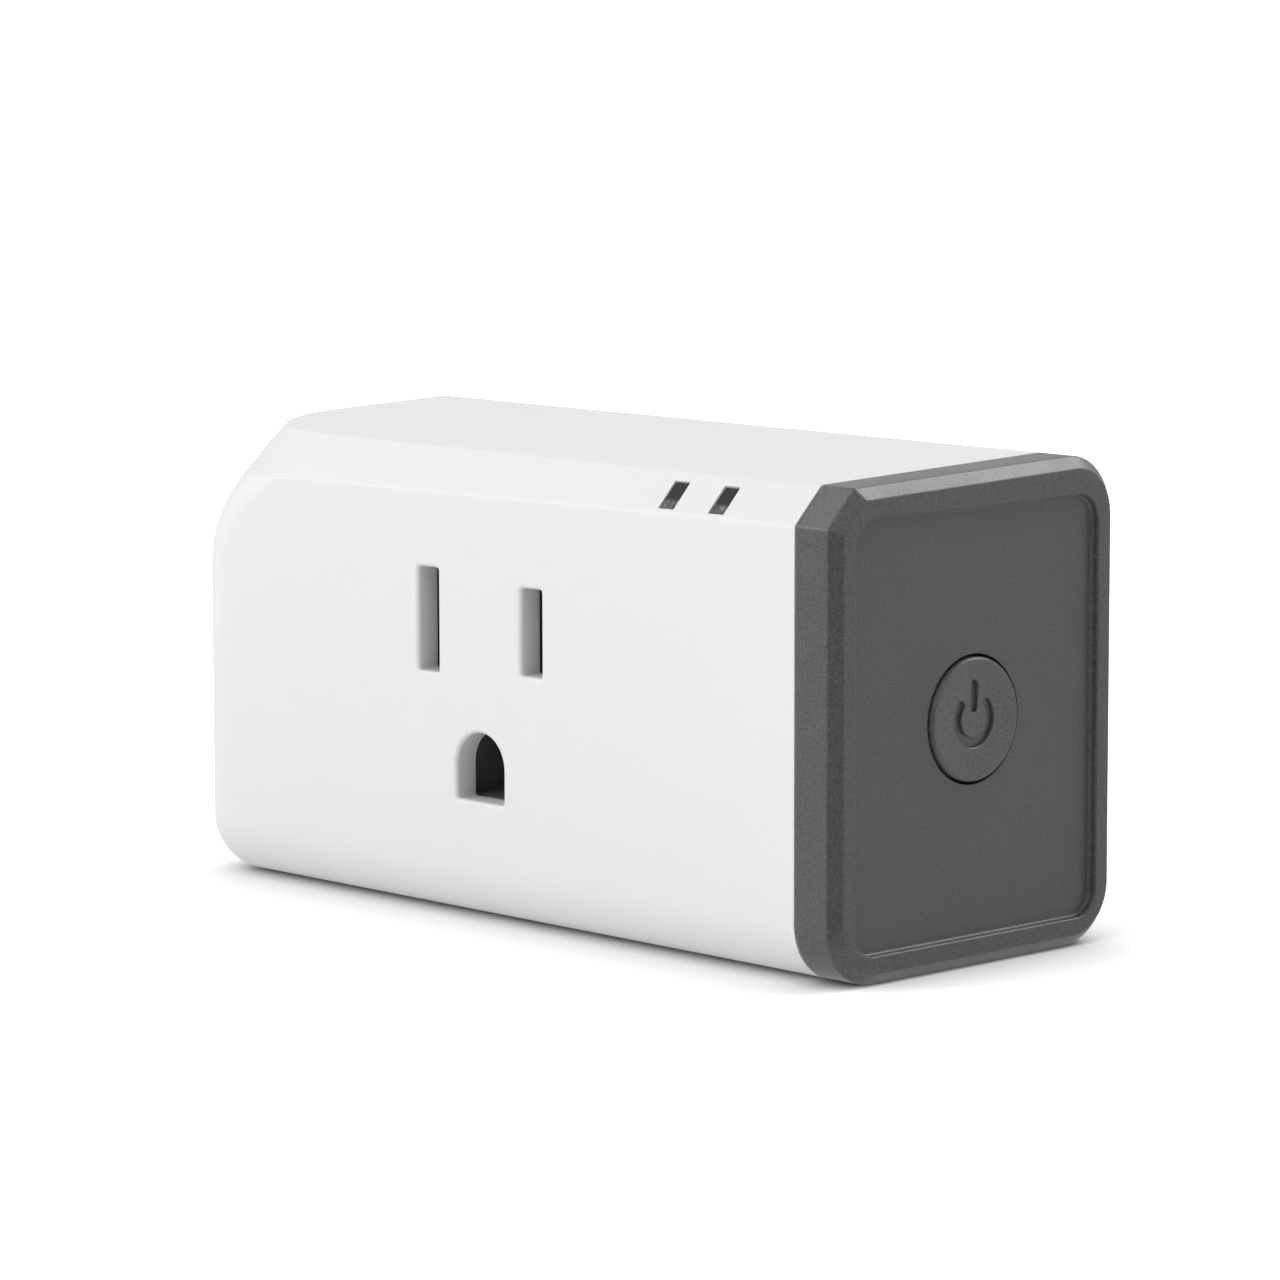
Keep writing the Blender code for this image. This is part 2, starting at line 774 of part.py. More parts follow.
def fuse():
    x, z = -26.0, 8.2
    body = rod((x, z), 4.1, (SEAT_Y - 7.5, SEAT_Y), "Y", 32)
    round_edges(body, 0.5)
    leads(body, ((x - 2.5, z), (x + 2.5, z)))
    finish_node(body, "fuse", black_plastic)


def bridge_rectifier():
    x, z = -32.4, 11.2
    body = block((x - 1.9, x + 1.9), (SEAT_Y - 2.4, SEAT_Y), (z - 1.7, z + 1.7))
    round_edges(body, 0.25)
    leads(body, ((x - 1.2, z), (x + 1.2, z)))
    finish_node(body, "bridge_rectifier", black_plastic)


# ---------------------------------------------------------------- transformer


def around_transformer(half_x, half_z, y):
    x = (TRANSFORMER_X - half_x, TRANSFORMER_X + half_x)
    return block(x, y, (TRANSFORMER_Z - half_z, TRANSFORMER_Z + half_z))


def transformer():
    core = around_transformer(5.0, 2.0, (-4.2, 5.2))
    for side in (-1, 1):
        near = TRANSFORMER_X + side * 1.5
        far = TRANSFORMER_X + side * 3.6
        window_x = (min(near, far), max(near, far))
        window_z = (TRANSFORMER_Z - 3.0, TRANSFORMER_Z + 3.0)
        cut(core, block(window_x, (-3.0, 4.0), window_z))
    finish_node(core, "transformer_core", ferrite)

    bobbin = around_transformer(2.2, 2.7, (-2.6, 3.6))
    add(bobbin, around_transformer(3.4, 4.4, (-2.6, -2.0)))
    add(bobbin, around_transformer(3.4, 4.4, (3.0, 3.6)))
    for side in (-1, 1):
        near = TRANSFORMER_Z + side * 2.5
        far = TRANSFORMER_Z + side * 4.4
        rail_z = (min(near, far), max(near, far))
        rail_x = (TRANSFORMER_X - 4.8, TRANSFORMER_X + 4.8)
        add(bobbin, block(rail_x, (3.2, SEAT_Y), rail_z))
    cut(bobbin, around_transformer(1.8, 2.3, (-3.0, 4.0)))
    pins = [
        (TRANSFORMER_X + side * 3.8, TRANSFORMER_Z + end * 3.6)
        for side in (-1, 1)
        for end in (-1, 1)
    ]
    leads(bobbin, pins)
    finish_node(bobbin, "transformer_bobbin", black_plastic)

    winding = around_transformer(3.2, 4.2, (-1.8, 2.8))
    round_edges(winding, 0.5)
    cut(winding, around_transformer(2.4, 2.9, (-2.5, 3.5)))
    finish_node(winding, "transformer_winding", yellow_resin)


# ---------------------------------------------------------------- relay


def relay_block(u, v, h):
    """A box in the relay's own coordinates."""
    x = (RELAY_X + u[0], RELAY_X + u[1])
    z = (RELAY_Z + v[0], RELAY_Z + v[1])
    return block(x, (SEAT_Y - h[1], SEAT_Y - h[0]), z)


def relay_rod(radius, h, segments=32):
    span = (SEAT_Y - h[1], SEAT_Y - h[0])
    return rod((RELAY_X, RELAY_Z), radius, span, "Y", segments)


def relay_terminal_hole(v):
    LEAD_HOLES.append((RELAY_X, RELAY_Z + v, 1.2, 0.5))


def relay_shell():
    cover = relay_block((-7.7, 7.7), (-9.5, 9.5), (0.0, 15.3))
    round_edges(cover, 0.5)
    cut(cover, relay_block((-7.0, 7.0), (-8.8, 8.8), (-1.0, 14.6)))
    finish_node(cover, "relay_cover", blue_resin)
    base = relay_block((-6.8, 6.8), (-8.6, 8.6), (0.3, 1.8))
    for v in (-7.6, 8.15):
        cut(base, relay_block((-1.3, 1.3), (v - 0.5, v + 0.42), (-1.0, 3.0)))
    finish_node(base, "relay_base", black_plastic)


def relay_magnet():
    yoke = relay_block((-4.5, 4.5), (-6.8, 4.5), (2.0, 3.2))
    add(yoke, relay_block((-4.5, 4.5), (-6.8, -5.6), (2.5, 11.9)))
    cut(yoke, relay_rod(2.1, (1.0, 4.0)))
    finish_node(yoke, "relay_yoke", steel)
    core = relay_rod(1.9, (2.1, 11.6))
    add(core, relay_rod(2.9, (11.45, 12.0)))
    finish_node(core, "relay_core", steel)
    bobbin = relay_rod(2.7, (3.4, 11.3))
    for h in ((3.4, 4.1), (10.6, 11.3)):
        add(bobbin, relay_block((-4.9, 4.9), (-5.3, 5.0), h))
    cut(bobbin, relay_rod(2.1, (3.0, 12.0)))
    finish_node(bobbin, "relay_bobbin", black_plastic)
    coil = relay_rod(4.7, (4.3, 10.4))
    cut(coil, relay_rod(2.9, (4.0, 11.0)))
    finish_node(coil, "relay_coil", copper)


def relay_terminals():
    common = relay_block((-1.0, 1.0), (-7.8, -7.4), (-2.4, 9.0))
    finish_node(common, "relay_common_terminal", copper)
    fixed = relay_block((-1.0, 1.0), (7.9, 8.3), (-2.4, 12.1))
    add(fixed, relay_block((-1.0, 1.0), (6.3, 8.3), (11.7, 12.1)))
    button = rod(
        (RELAY_X, RELAY_Z + 7.1), 0.9, (SEAT_Y - 12.6, SEAT_Y - 12.0), "Y", 20
    )
    add(fixed, button)
    finish_node(fixed, "relay_fixed_contact", copper)
    for v in (-7.6, 8.1):
        relay_terminal_hole(v)


def hang_on_pivot(obj, pivot):
    """Parent a piece and its boolean tools to the pivot, where they are."""
    tools = [item.object for item in obj.modifiers if item.type == "BOOLEAN"]
    for piece in (obj, *tools):
        piece.parent = pivot
        piece.matrix_parent_inverse = pivot.matrix_world.inverted()


def relay_moving_parts():
    armature = relay_block((-4.3, 4.3), (-6.6, 4.8), (12.2, 13.2))
    finish_node(armature, "relay_armature", steel)
    spring = relay_block((-1.5, 1.5), (-3.0, 8.0), (13.25, 13.5))
    rivet_y = (SEAT_Y - 13.4, SEAT_Y - 12.75)
    add(spring, rod((RELAY_X, RELAY_Z + 7.1), 0.9, rivet_y, "Y", 20))
    finish_node(spring, "relay_moving_spring", copper)
    pivot = bpy.data.objects.new("relay_pivot", None)
    bpy.data.collections[COLLECTION].objects.link(pivot)
    place = (RELAY_X, SEAT_Y - RELAY_PIVOT_H, RELAY_Z + RELAY_PIVOT_V)
    pivot.location = [value * MM for value in place]
    bpy.context.view_layer.update()
    hang_on_pivot(armature, pivot)
    hang_on_pivot(spring, pivot)
    pivot.rotation_euler = (math.radians(RELAY_SWING), 0.0, 0.0)


# ---------------------------------------------------------------- boards


def tab_slots():
    """Main board slots for blade tails, contact tails, the ground pin and the button board."""
    slots = []
    y = (MAIN_PCB_Y[0] - 1.0, MAIN_PCB_Y[1] + 1.0)
    for x in (NEUTRAL_X, LINE_X):
        slots.append(block((x - 0.9, x + 0.9), y, (BLADE_Z + 0.6, BLADE_Z + 3.2)))
        slots.append(block((x - 1.2, x + 1.2), y, (BLADE_Z - 3.2, BLADE_Z - 0.6)))
    slots.append(rod((SOCKET_X, GROUND_Z), 1.8, y, "Y", 20))
    tail_x = (SOCKET_X + 2.05, SOCKET_X + 3.15)
    slots.append(block(tail_x, y, (GROUND_Z - 1.2, GROUND_Z + 1.2)))
    x = (BUTTON_PCB_X[0] - 0.2, BUTTON_PCB_X[1] + 0.2)
    for z in BUTTON_TABS:
        slots.append(block(x, y, (z - 1.7, z + 1.7)))
    return slots


def main_pcb():
    x = (LEFT + COVER_INSET + 0.3, SEAM - FRAME_WIDTH - 0.3)
    board = block(x, MAIN_PCB_Y, (COVER_INSET + 0.3, HEIGHT - COVER_INSET - 0.3))
    y = (MAIN_PCB_Y[0] - 1.0, MAIN_PCB_Y[1] + 1.0)
    for post_x, post_z in COVER_POSTS:
        cut(board, rod((post_x, post_z), POST_RADIUS + 0.6, y, "Y", 24))
        outer_x = LEFT if post_x < 0 else SEAM
        outer_z = 0.0 if post_z < MIDDLE else HEIGHT
        corner_x = (min(post_x, outer_x), max(post_x, outer_x))
        corner_z = (min(post_z, outer_z), max(post_z, outer_z))
        cut(board, block(corner_x, y, corner_z))
    for x, z in STANDOFFS:
        cut(board, rod((x, z), 1.1, y, "Y", 16))
    cut(board, *tab_slots())
    for x, z, half_x, half_z in LEAD_HOLES:
        cut(board, block((x - half_x, x + half_x), y, (z - half_z, z + half_z)))
    finish_node(board, "main_pcb", circuit_board)


def header_strip():
    x = (HEADER_X - 1.1, HEADER_X + 1.1)
    strip_z = (HEADER_PINS[0] - 1.0, HEADER_PINS[-1] + 1.1)
    base = block(x, (3.6, SEAT_Y), strip_z)
    for z in HEADER_PINS:
        pin_x = (HEADER_X - 0.3, HEADER_X + 0.3)
        add(base, block(pin_x, (-11.2, LEAD_END_Y), (z - 0.3, z + 0.3)))
        LEAD_HOLES.append((HEADER_X, z, 0.5, 0.5))
    finish_node(base, "header_strip", black_plastic)


def control_pcb():
    board = block((11.6, 30.6), CONTROL_PCB_Y, (13.6, 36.0))
    y = (CONTROL_PCB_Y[0] - 1.0, CONTROL_PCB_Y[1] + 1.0)
    for z in HEADER_PINS:
        hole_x = (HEADER_X - 0.5, HEADER_X + 0.5)
        cut(board, block(hole_x, y, (z - 0.5, z + 0.5)))
    finish_node(board, "control_pcb", circuit_board)


def button_pcb():
    board = block(BUTTON_PCB_X, (-8.4, SEAT_Y), (12.0, 27.5))
    for z in BUTTON_TABS:
        add(board, block(BUTTON_PCB_X, (SEAT_Y - 0.5, LEAD_END_Y), (z - 1.5, z + 1.5)))
    finish_node(board, "button_pcb", circuit_board)


def wifi_module():
    back = CONTROL_PCB_Y[1]
    board = block((12.0, 22.2), (back + 0.2, back + 1.0), (14.2, 32.4))
    finish_node(board, "wifi_module_board", circuit_board)
    shield = block((12.7, 21.5), (back + 1.15, back + 3.2), (15.0, 27.4))
    round_edges(shield, 0.3)
    finish_node(shield, "wifi_shield", steel)


def status_led(name, x):
    face = CONTROL_PCB_Y[0] - 0.1
    led = block((x - 0.8, x + 0.8), (face - 0.7, face), (32.7, 34.0))
    round_edges(led, 0.15)
    finish_node(led, name, led_lens)


# ---------------------------------------------------------------- switch behind the button


def tact_switch():
    start = BUTTON_PCB_X[1] + 0.1
    y = (-3.0, 3.0)
    z = (MIDDLE - 3.0, MIDDLE + 3.0)
    base = block((start, 27.2), y, z)
    round_edges(base, 0.25)
    cut(base, rod((0.0, MIDDLE), 2.6, (25.2, 28.0), "X", 32))
    finish_node(base, "tact_base", black_plastic)
    cover = block((27.3, 27.6), y, z)
    cut(cover, rod((0.0, MIDDLE), 1.95, (27.0, 28.0), "X", 32))
    finish_node(cover, "tact_cover", steel)
    points = [(0.0, 29.3), (1.4, 29.3), (1.7, 29.0), (1.7, 27.1), (2.3, 27.1)]
    points += [(2.3, 26.5), (0.8, 26.5), (0.8, 26.25), (0.0, 26.25)]
    plunger = lathe(points, (0.0, MIDDLE), "X", 32)
    finish_node(plunger, "tact_plunger", black_plastic)
    top = 26.15
    sag = 0.28
    thickness = 0.12
    rim = 2.3
    points = []
    for step in range(6):
        share = step / 5
        points.append((rim * share, top - sag * share * share))
    for step in range(6):
        share = 1 - step / 5
        points.append((rim * share, top - thickness - sag * share * share))
    dome = lathe(points, (0.0, MIDDLE), "X", 32)
    finish_node(dome, "tact_dome", steel)


# ---------------------------------------------------------------- assembly


def build():
    clear_scene()
    add_collection(COLLECTION)
    add_collection(CUTTERS)
    front_housing()
    rear_cover()
    end_cap()
    power_button()
    light_pipe("light_pipe_left", WINDOW_X[0])
    light_pipe("light_pipe_right", WINDOW_X[1])
    receptacle_holder()
    blade_contact("neutral_contact", NEUTRAL_X, 3.6)
    blade_contact("line_contact", LINE_X, 3.0)
    ground_contact()
    prong_blade("neutral_blade", NEUTRAL_X, NEUTRAL_BLADE_HEIGHT)
    prong_blade("line_blade", LINE_X, LINE_BLADE_HEIGHT)
    ground_pin()
    cover_screws()
    pcb_screws()
    can_capacitor("bulk_capacitor_1", 15.6, 13.1, 4.0, 11.0)
    can_capacitor("bulk_capacitor_2", 15.6, 21.8, 4.0, 11.0)
    can_capacitor("output_capacitor", 19.6, 6.4, 3.1, 9.0)
    x_capacitor()
    varistor()
    fuse()
    bridge_rectifier()
    transformer()
    relay_shell()
    relay_magnet()
    relay_terminals()
    relay_moving_parts()
    header_strip()
    control_pcb()
    button_pcb()
    wifi_module()
    status_led("status_led_left", WINDOW_X[0])
    status_led("status_led_right", WINDOW_X[1])
    tact_switch()
    main_pcb()


build()
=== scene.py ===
"""Looks for the smart plug: finer shells, prongs and screws, and every material.

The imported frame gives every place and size. Sizes below are in millimetres, in the frame's
axes: +X towards the end cap, -Y out of the socket face, +Y along the prongs, +Z up.
"""

import json
import math

import bmesh
import bpy
from mathutils import Matrix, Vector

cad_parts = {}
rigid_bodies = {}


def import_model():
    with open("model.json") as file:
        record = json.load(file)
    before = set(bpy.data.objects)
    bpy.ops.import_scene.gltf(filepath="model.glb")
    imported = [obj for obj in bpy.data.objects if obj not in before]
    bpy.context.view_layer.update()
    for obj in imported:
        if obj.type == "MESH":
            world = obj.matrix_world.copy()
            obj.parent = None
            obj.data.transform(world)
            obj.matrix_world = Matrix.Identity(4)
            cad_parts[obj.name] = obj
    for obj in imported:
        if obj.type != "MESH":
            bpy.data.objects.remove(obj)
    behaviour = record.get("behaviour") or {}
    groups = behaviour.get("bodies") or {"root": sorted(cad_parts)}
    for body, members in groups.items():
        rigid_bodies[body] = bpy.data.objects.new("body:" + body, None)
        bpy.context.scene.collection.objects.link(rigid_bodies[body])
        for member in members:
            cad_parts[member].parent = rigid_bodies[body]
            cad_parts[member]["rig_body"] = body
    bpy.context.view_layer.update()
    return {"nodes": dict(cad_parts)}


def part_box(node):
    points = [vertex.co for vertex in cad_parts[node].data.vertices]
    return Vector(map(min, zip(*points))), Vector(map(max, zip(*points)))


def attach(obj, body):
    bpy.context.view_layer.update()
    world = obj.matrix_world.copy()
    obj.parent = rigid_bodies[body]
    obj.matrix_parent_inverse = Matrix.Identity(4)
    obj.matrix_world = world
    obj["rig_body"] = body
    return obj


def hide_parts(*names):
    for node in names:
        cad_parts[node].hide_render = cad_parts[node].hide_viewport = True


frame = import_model()
NODES = frame["nodes"]
MM = 0.001
MERGE_GAP = 0.0005

# How far a 45 degree bend starts from its corner, as a share of its radius
BEND_SHARE = math.tan(math.radians(22.5))


def box_mm(node):
    """A node's lowest and highest corners in millimetres."""
    low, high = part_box(node)
    return low / MM, high / MM


# ---------------------------------------------------------------- sizes from the frame

HOUSING_LOW, HOUSING_HIGH = box_mm("front_housing")
CAP_HIGH = box_mm("end_cap")[1]
LEFT = HOUSING_LOW.x
SEAM = HOUSING_HIGH.x
RIGHT = CAP_HIGH.x
FRONT = HOUSING_LOW.y
BACK = HOUSING_HIGH.y
HEIGHT = 39.5
TOP_SLOPE = 0.03

NEUTRAL_LOW, NEUTRAL_HIGH = box_mm("neutral_blade")
LINE_LOW, LINE_HIGH = box_mm("line_blade")
PIN_LOW, PIN_HIGH = box_mm("ground_pin")
NEUTRAL_X = (NEUTRAL_LOW.x + NEUTRAL_HIGH.x) / 2
LINE_X = (LINE_LOW.x + LINE_HIGH.x) / 2
SOCKET_X = (NEUTRAL_X + LINE_X) / 2
BLADE_Z = (NEUTRAL_LOW.z + NEUTRAL_HIGH.z) / 2
GROUND_Z = (PIN_LOW.z + PIN_HIGH.z) / 2

BUTTON_LOW, BUTTON_HIGH = box_mm("power_button")
MIDDLE = (BUTTON_LOW.z + BUTTON_HIGH.z) / 2

# ---------------------------------------------------------------- sizes of the visible shapes

# Housing: the front left corner opens out from GROWTH_START up to the ridge. The ridge's
# drop starts at DROP_START and fades out over DROP_FADE, measured back from the front.
CORNER = 5.0
LEFT_TOP_CORNER = 2.2
CHAMFER = 3.0
RIDGE = HEIGHT - CHAMFER
RIDGE_ROUND = 0.45
RIDGE_DROP = 0.95
DROP_START = 29.0
DROP_FADE = (5.0, 13.0)
GROWTH_START = 26.0
GROWTH = 8.0
FINE_LEVELS_START = 24.0
REAR_HEIGHT = HEIGHT + TOP_SLOPE * (BACK - FRONT - CHAMFER)
WALL = 2.2
COVER_INSET = 3.0
FRAME_WIDTH = 4.5
POST_RADIUS = 2.4
POST_BORE = 1.15
POST_SPAN = (8.1, 13.9)
RIB_HALF = 0.7
STANDOFF_RADIUS = 2.2
STANDOFF_BORE = 0.95
STANDOFF_TOP = 6.0

# Socket openings
SLOT_WIDTH = 2.5
NEUTRAL_SLOT = 8.8
LINE_SLOT = 7.3
SLOT_CORNER = 0.25
GROUND_HOLE = 5.8
ARCH_CORNER = 0.35
MOUTH_ROUND = 0.38
MOUTH_DEPTH = WALL + 0.6

# Indicator windows: the start is measured up the chamfer from the ridge
WINDOW_WIDTH = 1.77
WINDOW_LENGTH = 2.85
WINDOW_START = 0.34
WINDOW_LOW_Z = RIDGE + WINDOW_START * math.sqrt(0.5)

# End cap
SEAM_GAP = 0.2
CAP_BEVEL = 0.9
RIM_INSET = 2.4
PANEL_CORNER = 2.1
PANEL_DEPTH = 0.72
PANEL_THICKNESS = 1.8
GUIDE_RADIUS = 7.6
GUIDE_BORE = 6.45
HOLE_EASE = 0.05

# Button: the symbol's opening is in degrees, and its bar runs up from the middle
BUTTON_RADIUS = 5.04
BUTTON_HOLE = 5.27
BUTTON_EDGE = 0.35
BUTTON_DISH = 0.25
FLANGE_RADIUS = 6.2
STEM_RADIUS = 1.6
SYMBOL_RADIUS = 1.89
SYMBOL_STROKE = 0.82
SYMBOL_OPENING = (142, 398)
SYMBOL_BAR = (0.98, 2.78)
SYMBOL_EASE = 0.04
SYMBOL_DEPTH = 0.3

# Prongs and screws
BLADE_HALF = 0.75
BLADE_CLIP = 1.4
BLADE_HOLE_RADIUS = 1.6
BLADE_HOLE_REACH = 11.9
BLADE_ROOT = 9.0
FOOT_SPAN = (8.3, 9.3)
PIN_RADIUS = 2.38
THREAD_TURNS = 7
CROSS_HALF = 0.2

# ---------------------------------------------------------------- light and camera settings

# Each lobe: direction, start and end of the ramp as cosines, and the strengths at both
DARK_PATCH = ((0.71, -0.69, -0.05), 0.8, 0.97, 0.7, 0.05)
KEY_LIGHT = ((-0.5, -0.8, 0.4), 0.5, 0.95, 0.0, 1.65)
BACK_LIGHT = ((0.15, 0.69, 0.71), 0.92, 0.98, 0.0, 4.6)
ABOVE_HORIZON = ((0.0, 0.0, 1.0), 0.0, 0.15, 0.0, 1.0)
FLOOR_SIZE = 24.0
# How far the floor's painted contact shadow reaches, in metres
PAINTED_SHADOW_REACH = 0.016

# Place in metres, angles in degrees, lens in millimetres
CAMERA_PLACE = (0.33144, -0.31689, 0.08477)
CAMERA_TURN = 46.242
CAMERA_TILT = 7.723
CAMERA_ROLL = -0.096
CAMERA_LENS = 153.28


# ---------------------------------------------------------------- mesh helpers


def new_object(name, mesh):
    obj = bpy.data.objects.new(name, mesh)
    bpy.context.scene.collection.objects.link(obj)
    return obj


def loft(name, rings):
    """A closed solid skinned over rings of equal length, in millimetres."""
    builder = bmesh.new()
    rows = []
    for ring in rings:
        rows.append([builder.verts.new([value * MM for value in point]) for point in ring])
    count = len(rows[0])
    for lower, upper in zip(rows, rows[1:]):
        for index in range(count):
            after = (index + 1) % count
            builder.faces.new((lower[index], lower[after], upper[after], upper[index]))
    builder.faces.new(list(reversed(rows[0])))
    builder.faces.new(rows[-1])
    bmesh.ops.remove_doubles(builder, verts=builder.verts, dist=MERGE_GAP * MM)
    bmesh.ops.recalc_face_normals(builder, faces=builder.faces)
    mesh = bpy.data.meshes.new(name)
    builder.to_mesh(mesh)
    builder.free()
    return new_object(name, mesh)


def lathe(name, profile, axis, centre, segments=96):
    """A turned solid: profile is (radius, place along the axis); centre is in X, Y, Z order."""
    rings = []
    for radius, along in profile:
        ring = []
        for step in range(segments):
            angle = 2 * math.pi * step / segments
            point = [radius * math.cos(angle) + centre[0], radius * math.sin(angle) + centre[1]]
            point.insert("XYZ".index(axis), along)
            ring.append(point)
        rings.append(ring)
    return loft(name, rings)


def box(name, x, y, z):
    corners = [(x[0], y[0]), (x[1], y[0]), (x[1], y[1]), (x[0], y[1])]
    return loft(name, [[(across, deep, up) for across, deep in corners] for up in z])


def modify(obj, kind, **settings):
    """Add a modifier and apply it."""
    modifier = obj.modifiers.new(kind.lower(), kind)
    for key, value in settings.items():
        setattr(modifier, key, value)
    bpy.context.view_layer.update()
    depsgraph = bpy.context.evaluated_depsgraph_get()
    mesh = bpy.data.meshes.new_from_object(obj.evaluated_get(depsgraph))
    old = obj.data
    obj.modifiers.clear()
    obj.data = mesh
    bpy.data.meshes.remove(old)
    return obj


def boolean(obj, tool, operation):
    """Join or cut an object with a tool, and discard the tool."""
    modify(obj, "BOOLEAN", operation=operation, solver="EXACT", object=tool)
    bpy.data.objects.remove(tool)
    return obj


def cut(obj, *tools):
    for tool in tools:
        boolean(obj, tool, "DIFFERENCE")
    return obj


def add(obj, *tools):
    for tool in tools:
        boolean(obj, tool, "UNION")
    return obj


def close_slivers(obj, gap=0.002):
    """Merge the corners that a cut leaves almost on top of each other."""
    builder = bmesh.new()
    builder.from_mesh(obj.data)
    bmesh.ops.remove_doubles(builder, verts=builder.verts, dist=gap * MM)
    bmesh.ops.dissolve_degenerate(builder, edges=builder.edges, dist=gap * MM)
    builder.to_mesh(obj.data)
    builder.free()
    return obj


def smooth(obj, degrees=32):
    """Smooth shading that keeps sharp edges crisp and flat faces flat."""
    obj.data.shade_smooth()
    obj.data.set_sharp_from_angle(angle=math.radians(degrees))
    modifier = obj.modifiers.new("weighted", "WEIGHTED_NORMAL")
    modifier.keep_sharp = True
    modifier.weight = 60
    return obj


def soften(obj, width, segments=3, degrees=35):
    return modify(
        obj,
        "BEVEL",
        width=width * MM,
        segments=segments,
        limit_method="ANGLE",
        angle_limit=math.radians(degrees),
        use_clamp_overlap=True,
    )


def arc(centre, radius, start, end, steps):
    """Points along a circle from one angle to another, in degrees."""
    points = []
    for step in range(steps + 1):
        angle = math.radians(start + (end - start) * step / steps)
        across = centre[0] + radius * math.cos(angle)
        up = centre[1] + radius * math.sin(angle)
        points.append((across, up))
    return points


def spaced(start, end, count):
    """Evenly spaced values from start up to, but not including, end."""
    return [start + (end - start) * step / count for step in range(count)]


# ---------------------------------------------------------------- housing form


def chamfer_inset(z, inset):
    """How far the front face lies back at a height: upright, the chamfer, then the top edge."""
    top = HEIGHT - inset
    size = CHAMFER - inset * (1 - BEND_SHARE)
    ridge = top - size
    reach = RIDGE_ROUND * BEND_SHARE
    if z <= ridge - reach:
        return 0.0
    if z < ridge + reach * math.sqrt(0.5):
        rise = z - (ridge - reach)
        return RIDGE_ROUND - math.sqrt(RIDGE_ROUND**2 - rise**2)
    if z <= top - reach * math.sqrt(0.5):
        return z - ridge
    rise = min(z - (top - RIDGE_ROUND), RIDGE_ROUND)
    return size + reach - math.sqrt(max(RIDGE_ROUND**2 - rise**2, 0.0))


def corner_growth(z):
    """The left front corner opens out towards the chamfer."""
    share = min(max((z - GROWTH_START) / (RIDGE - GROWTH_START), 0.0), 1.0)
    return GROWTH * share**2.4 + max(z - RIDGE, 0.0)


def housing_levels(inset):
    """Heights for the rings: close together in the fillets and round the ridge."""
    radius = CORNER - inset
    low = inset
    high = HEIGHT - inset
    size = CHAMFER - inset * (1 - BEND_SHARE)
    levels = [low + radius * (1 - math.cos(math.radians(angle))) for angle in range(0, 90, 9)]
    levels += spaced(low + radius, FINE_LEVELS_START, 4)
    levels += spaced(FINE_LEVELS_START, high - radius, 8)
    levels += [high - radius + radius * math.sin(math.radians(angle)) for angle in range(0, 84, 6)]
    levels += [high - radius * 0.012, high - radius * 0.004, high]
    ridge = high - size
    levels += [ridge + RIDGE_ROUND * share for share in (-0.42, -0.25, -0.08, 0.1, 0.29)]
    levels += [high - RIDGE_ROUND * share for share in (0.3, 0.18, 0.08)]
    levels.sort()
    kept = [levels[0]]
    for level in levels[1:]:
        if level - kept[-1] > 0.008:
            kept.append(level)
    kept[-1] = high
    return kept


def side_inset(z, inset, top_corner=CORNER):
    """The fillet at the bottom and top edges."""
    radius = CORNER if z < MIDDLE else top_corner
    radius = max(radius - inset, 0.3)
    low = inset + radius
    high = HEIGHT - inset - radius
    rise = max(low - z, z - high, 0.0)
    return radius - math.sqrt(max(radius**2 - rise**2, 0.0))


def raise_back(y, z):
    """The top face rises a little towards the back."""
    return z + TOP_SLOPE * max(y - FRONT - CHAMFER, 0.0) * z / HEIGHT


def ridge_drop(x, y, z):
    """The ridge runs a little lower towards the left end."""
    along = (SEAM - x) / (SEAM - LEFT)
    if z < RIDGE:
        height_share = min(max((z - DROP_START) / (RIDGE - DROP_START), 0.0), 1.0)
    else:
        height_share = max((HEIGHT - z) / CHAMFER, 0.0)
    near, far = DROP_FADE
    depth_share = min(max((FRONT + far - y) / (far - near), 0.0), 1.0)
    return RIDGE_DROP * along * height_share * depth_share


def housing_ring(z, inset, end):
    """The housing's outline at a height, from the front right round the left end."""
    side = side_inset(z, inset)
    left = side_inset(z, inset, LEFT_TOP_CORNER)
    radius = CORNER - inset
    front = side if z < inset + radius else chamfer_inset(z, inset)
    rear_radius = max(radius - side, 0.02)
    grown = corner_growth(z)
    front_radius = max(radius + grown - left * (1.0 + 0.055 * grown), 0.02)
    x_left = LEFT + inset + left
    y_front = FRONT + inset + front
    y_back = BACK - inset - side
    plan = [(x, y_front) for x in spaced(end, x_left + front_radius, 22)]
    centre = (x_left + front_radius, y_front + front_radius)
    plan += arc(centre, front_radius, 270, 180, 18)
    plan += [(x_left, y) for y in spaced(y_front + front_radius, y_back - rear_radius, 6)[1:]]
    plan += arc((x_left + rear_radius, y_back - rear_radius), rear_radius, 180, 90, 12)
    plan += [(x, y_back) for x in spaced(x_left + rear_radius, end, 8)[1:]]
    plan.append((end, y_back))
    return [(x, y, raise_back(y, z) - ridge_drop(x, y, z)) for x, y in plan]


def housing_form(name, inset, end):
    return loft(name, [housing_ring(z, inset, end) for z in housing_levels(inset)])


# ---------------------------------------------------------------- openings


def flare_steps(radius):
    """Offsets and depths that round an opening's edge over, from outside to inside."""
    steps = [(radius, -0.6), (radius, -0.02)]
    for angle in (15, 30, 45, 60, 75, 90):
        turn = math.radians(angle)
        steps.append((radius * (1 - math.sin(turn)), radius * (1 - math.cos(turn))))
    return steps


def slot_outline(width, height, corner, offset):
    half_x = width / 2 + offset
    half_z = height / 2 + offset
    radius = corner + offset
    points = []
    for side_x, side_z, start in ((1, 1, 0), (-1, 1, 90), (-1, -1, 180), (1, -1, 270)):
        centre = (side_x * (half_x - radius), side_z * (half_z - radius))
        points += arc(centre, radius, start, start + 90, 6)
    return points


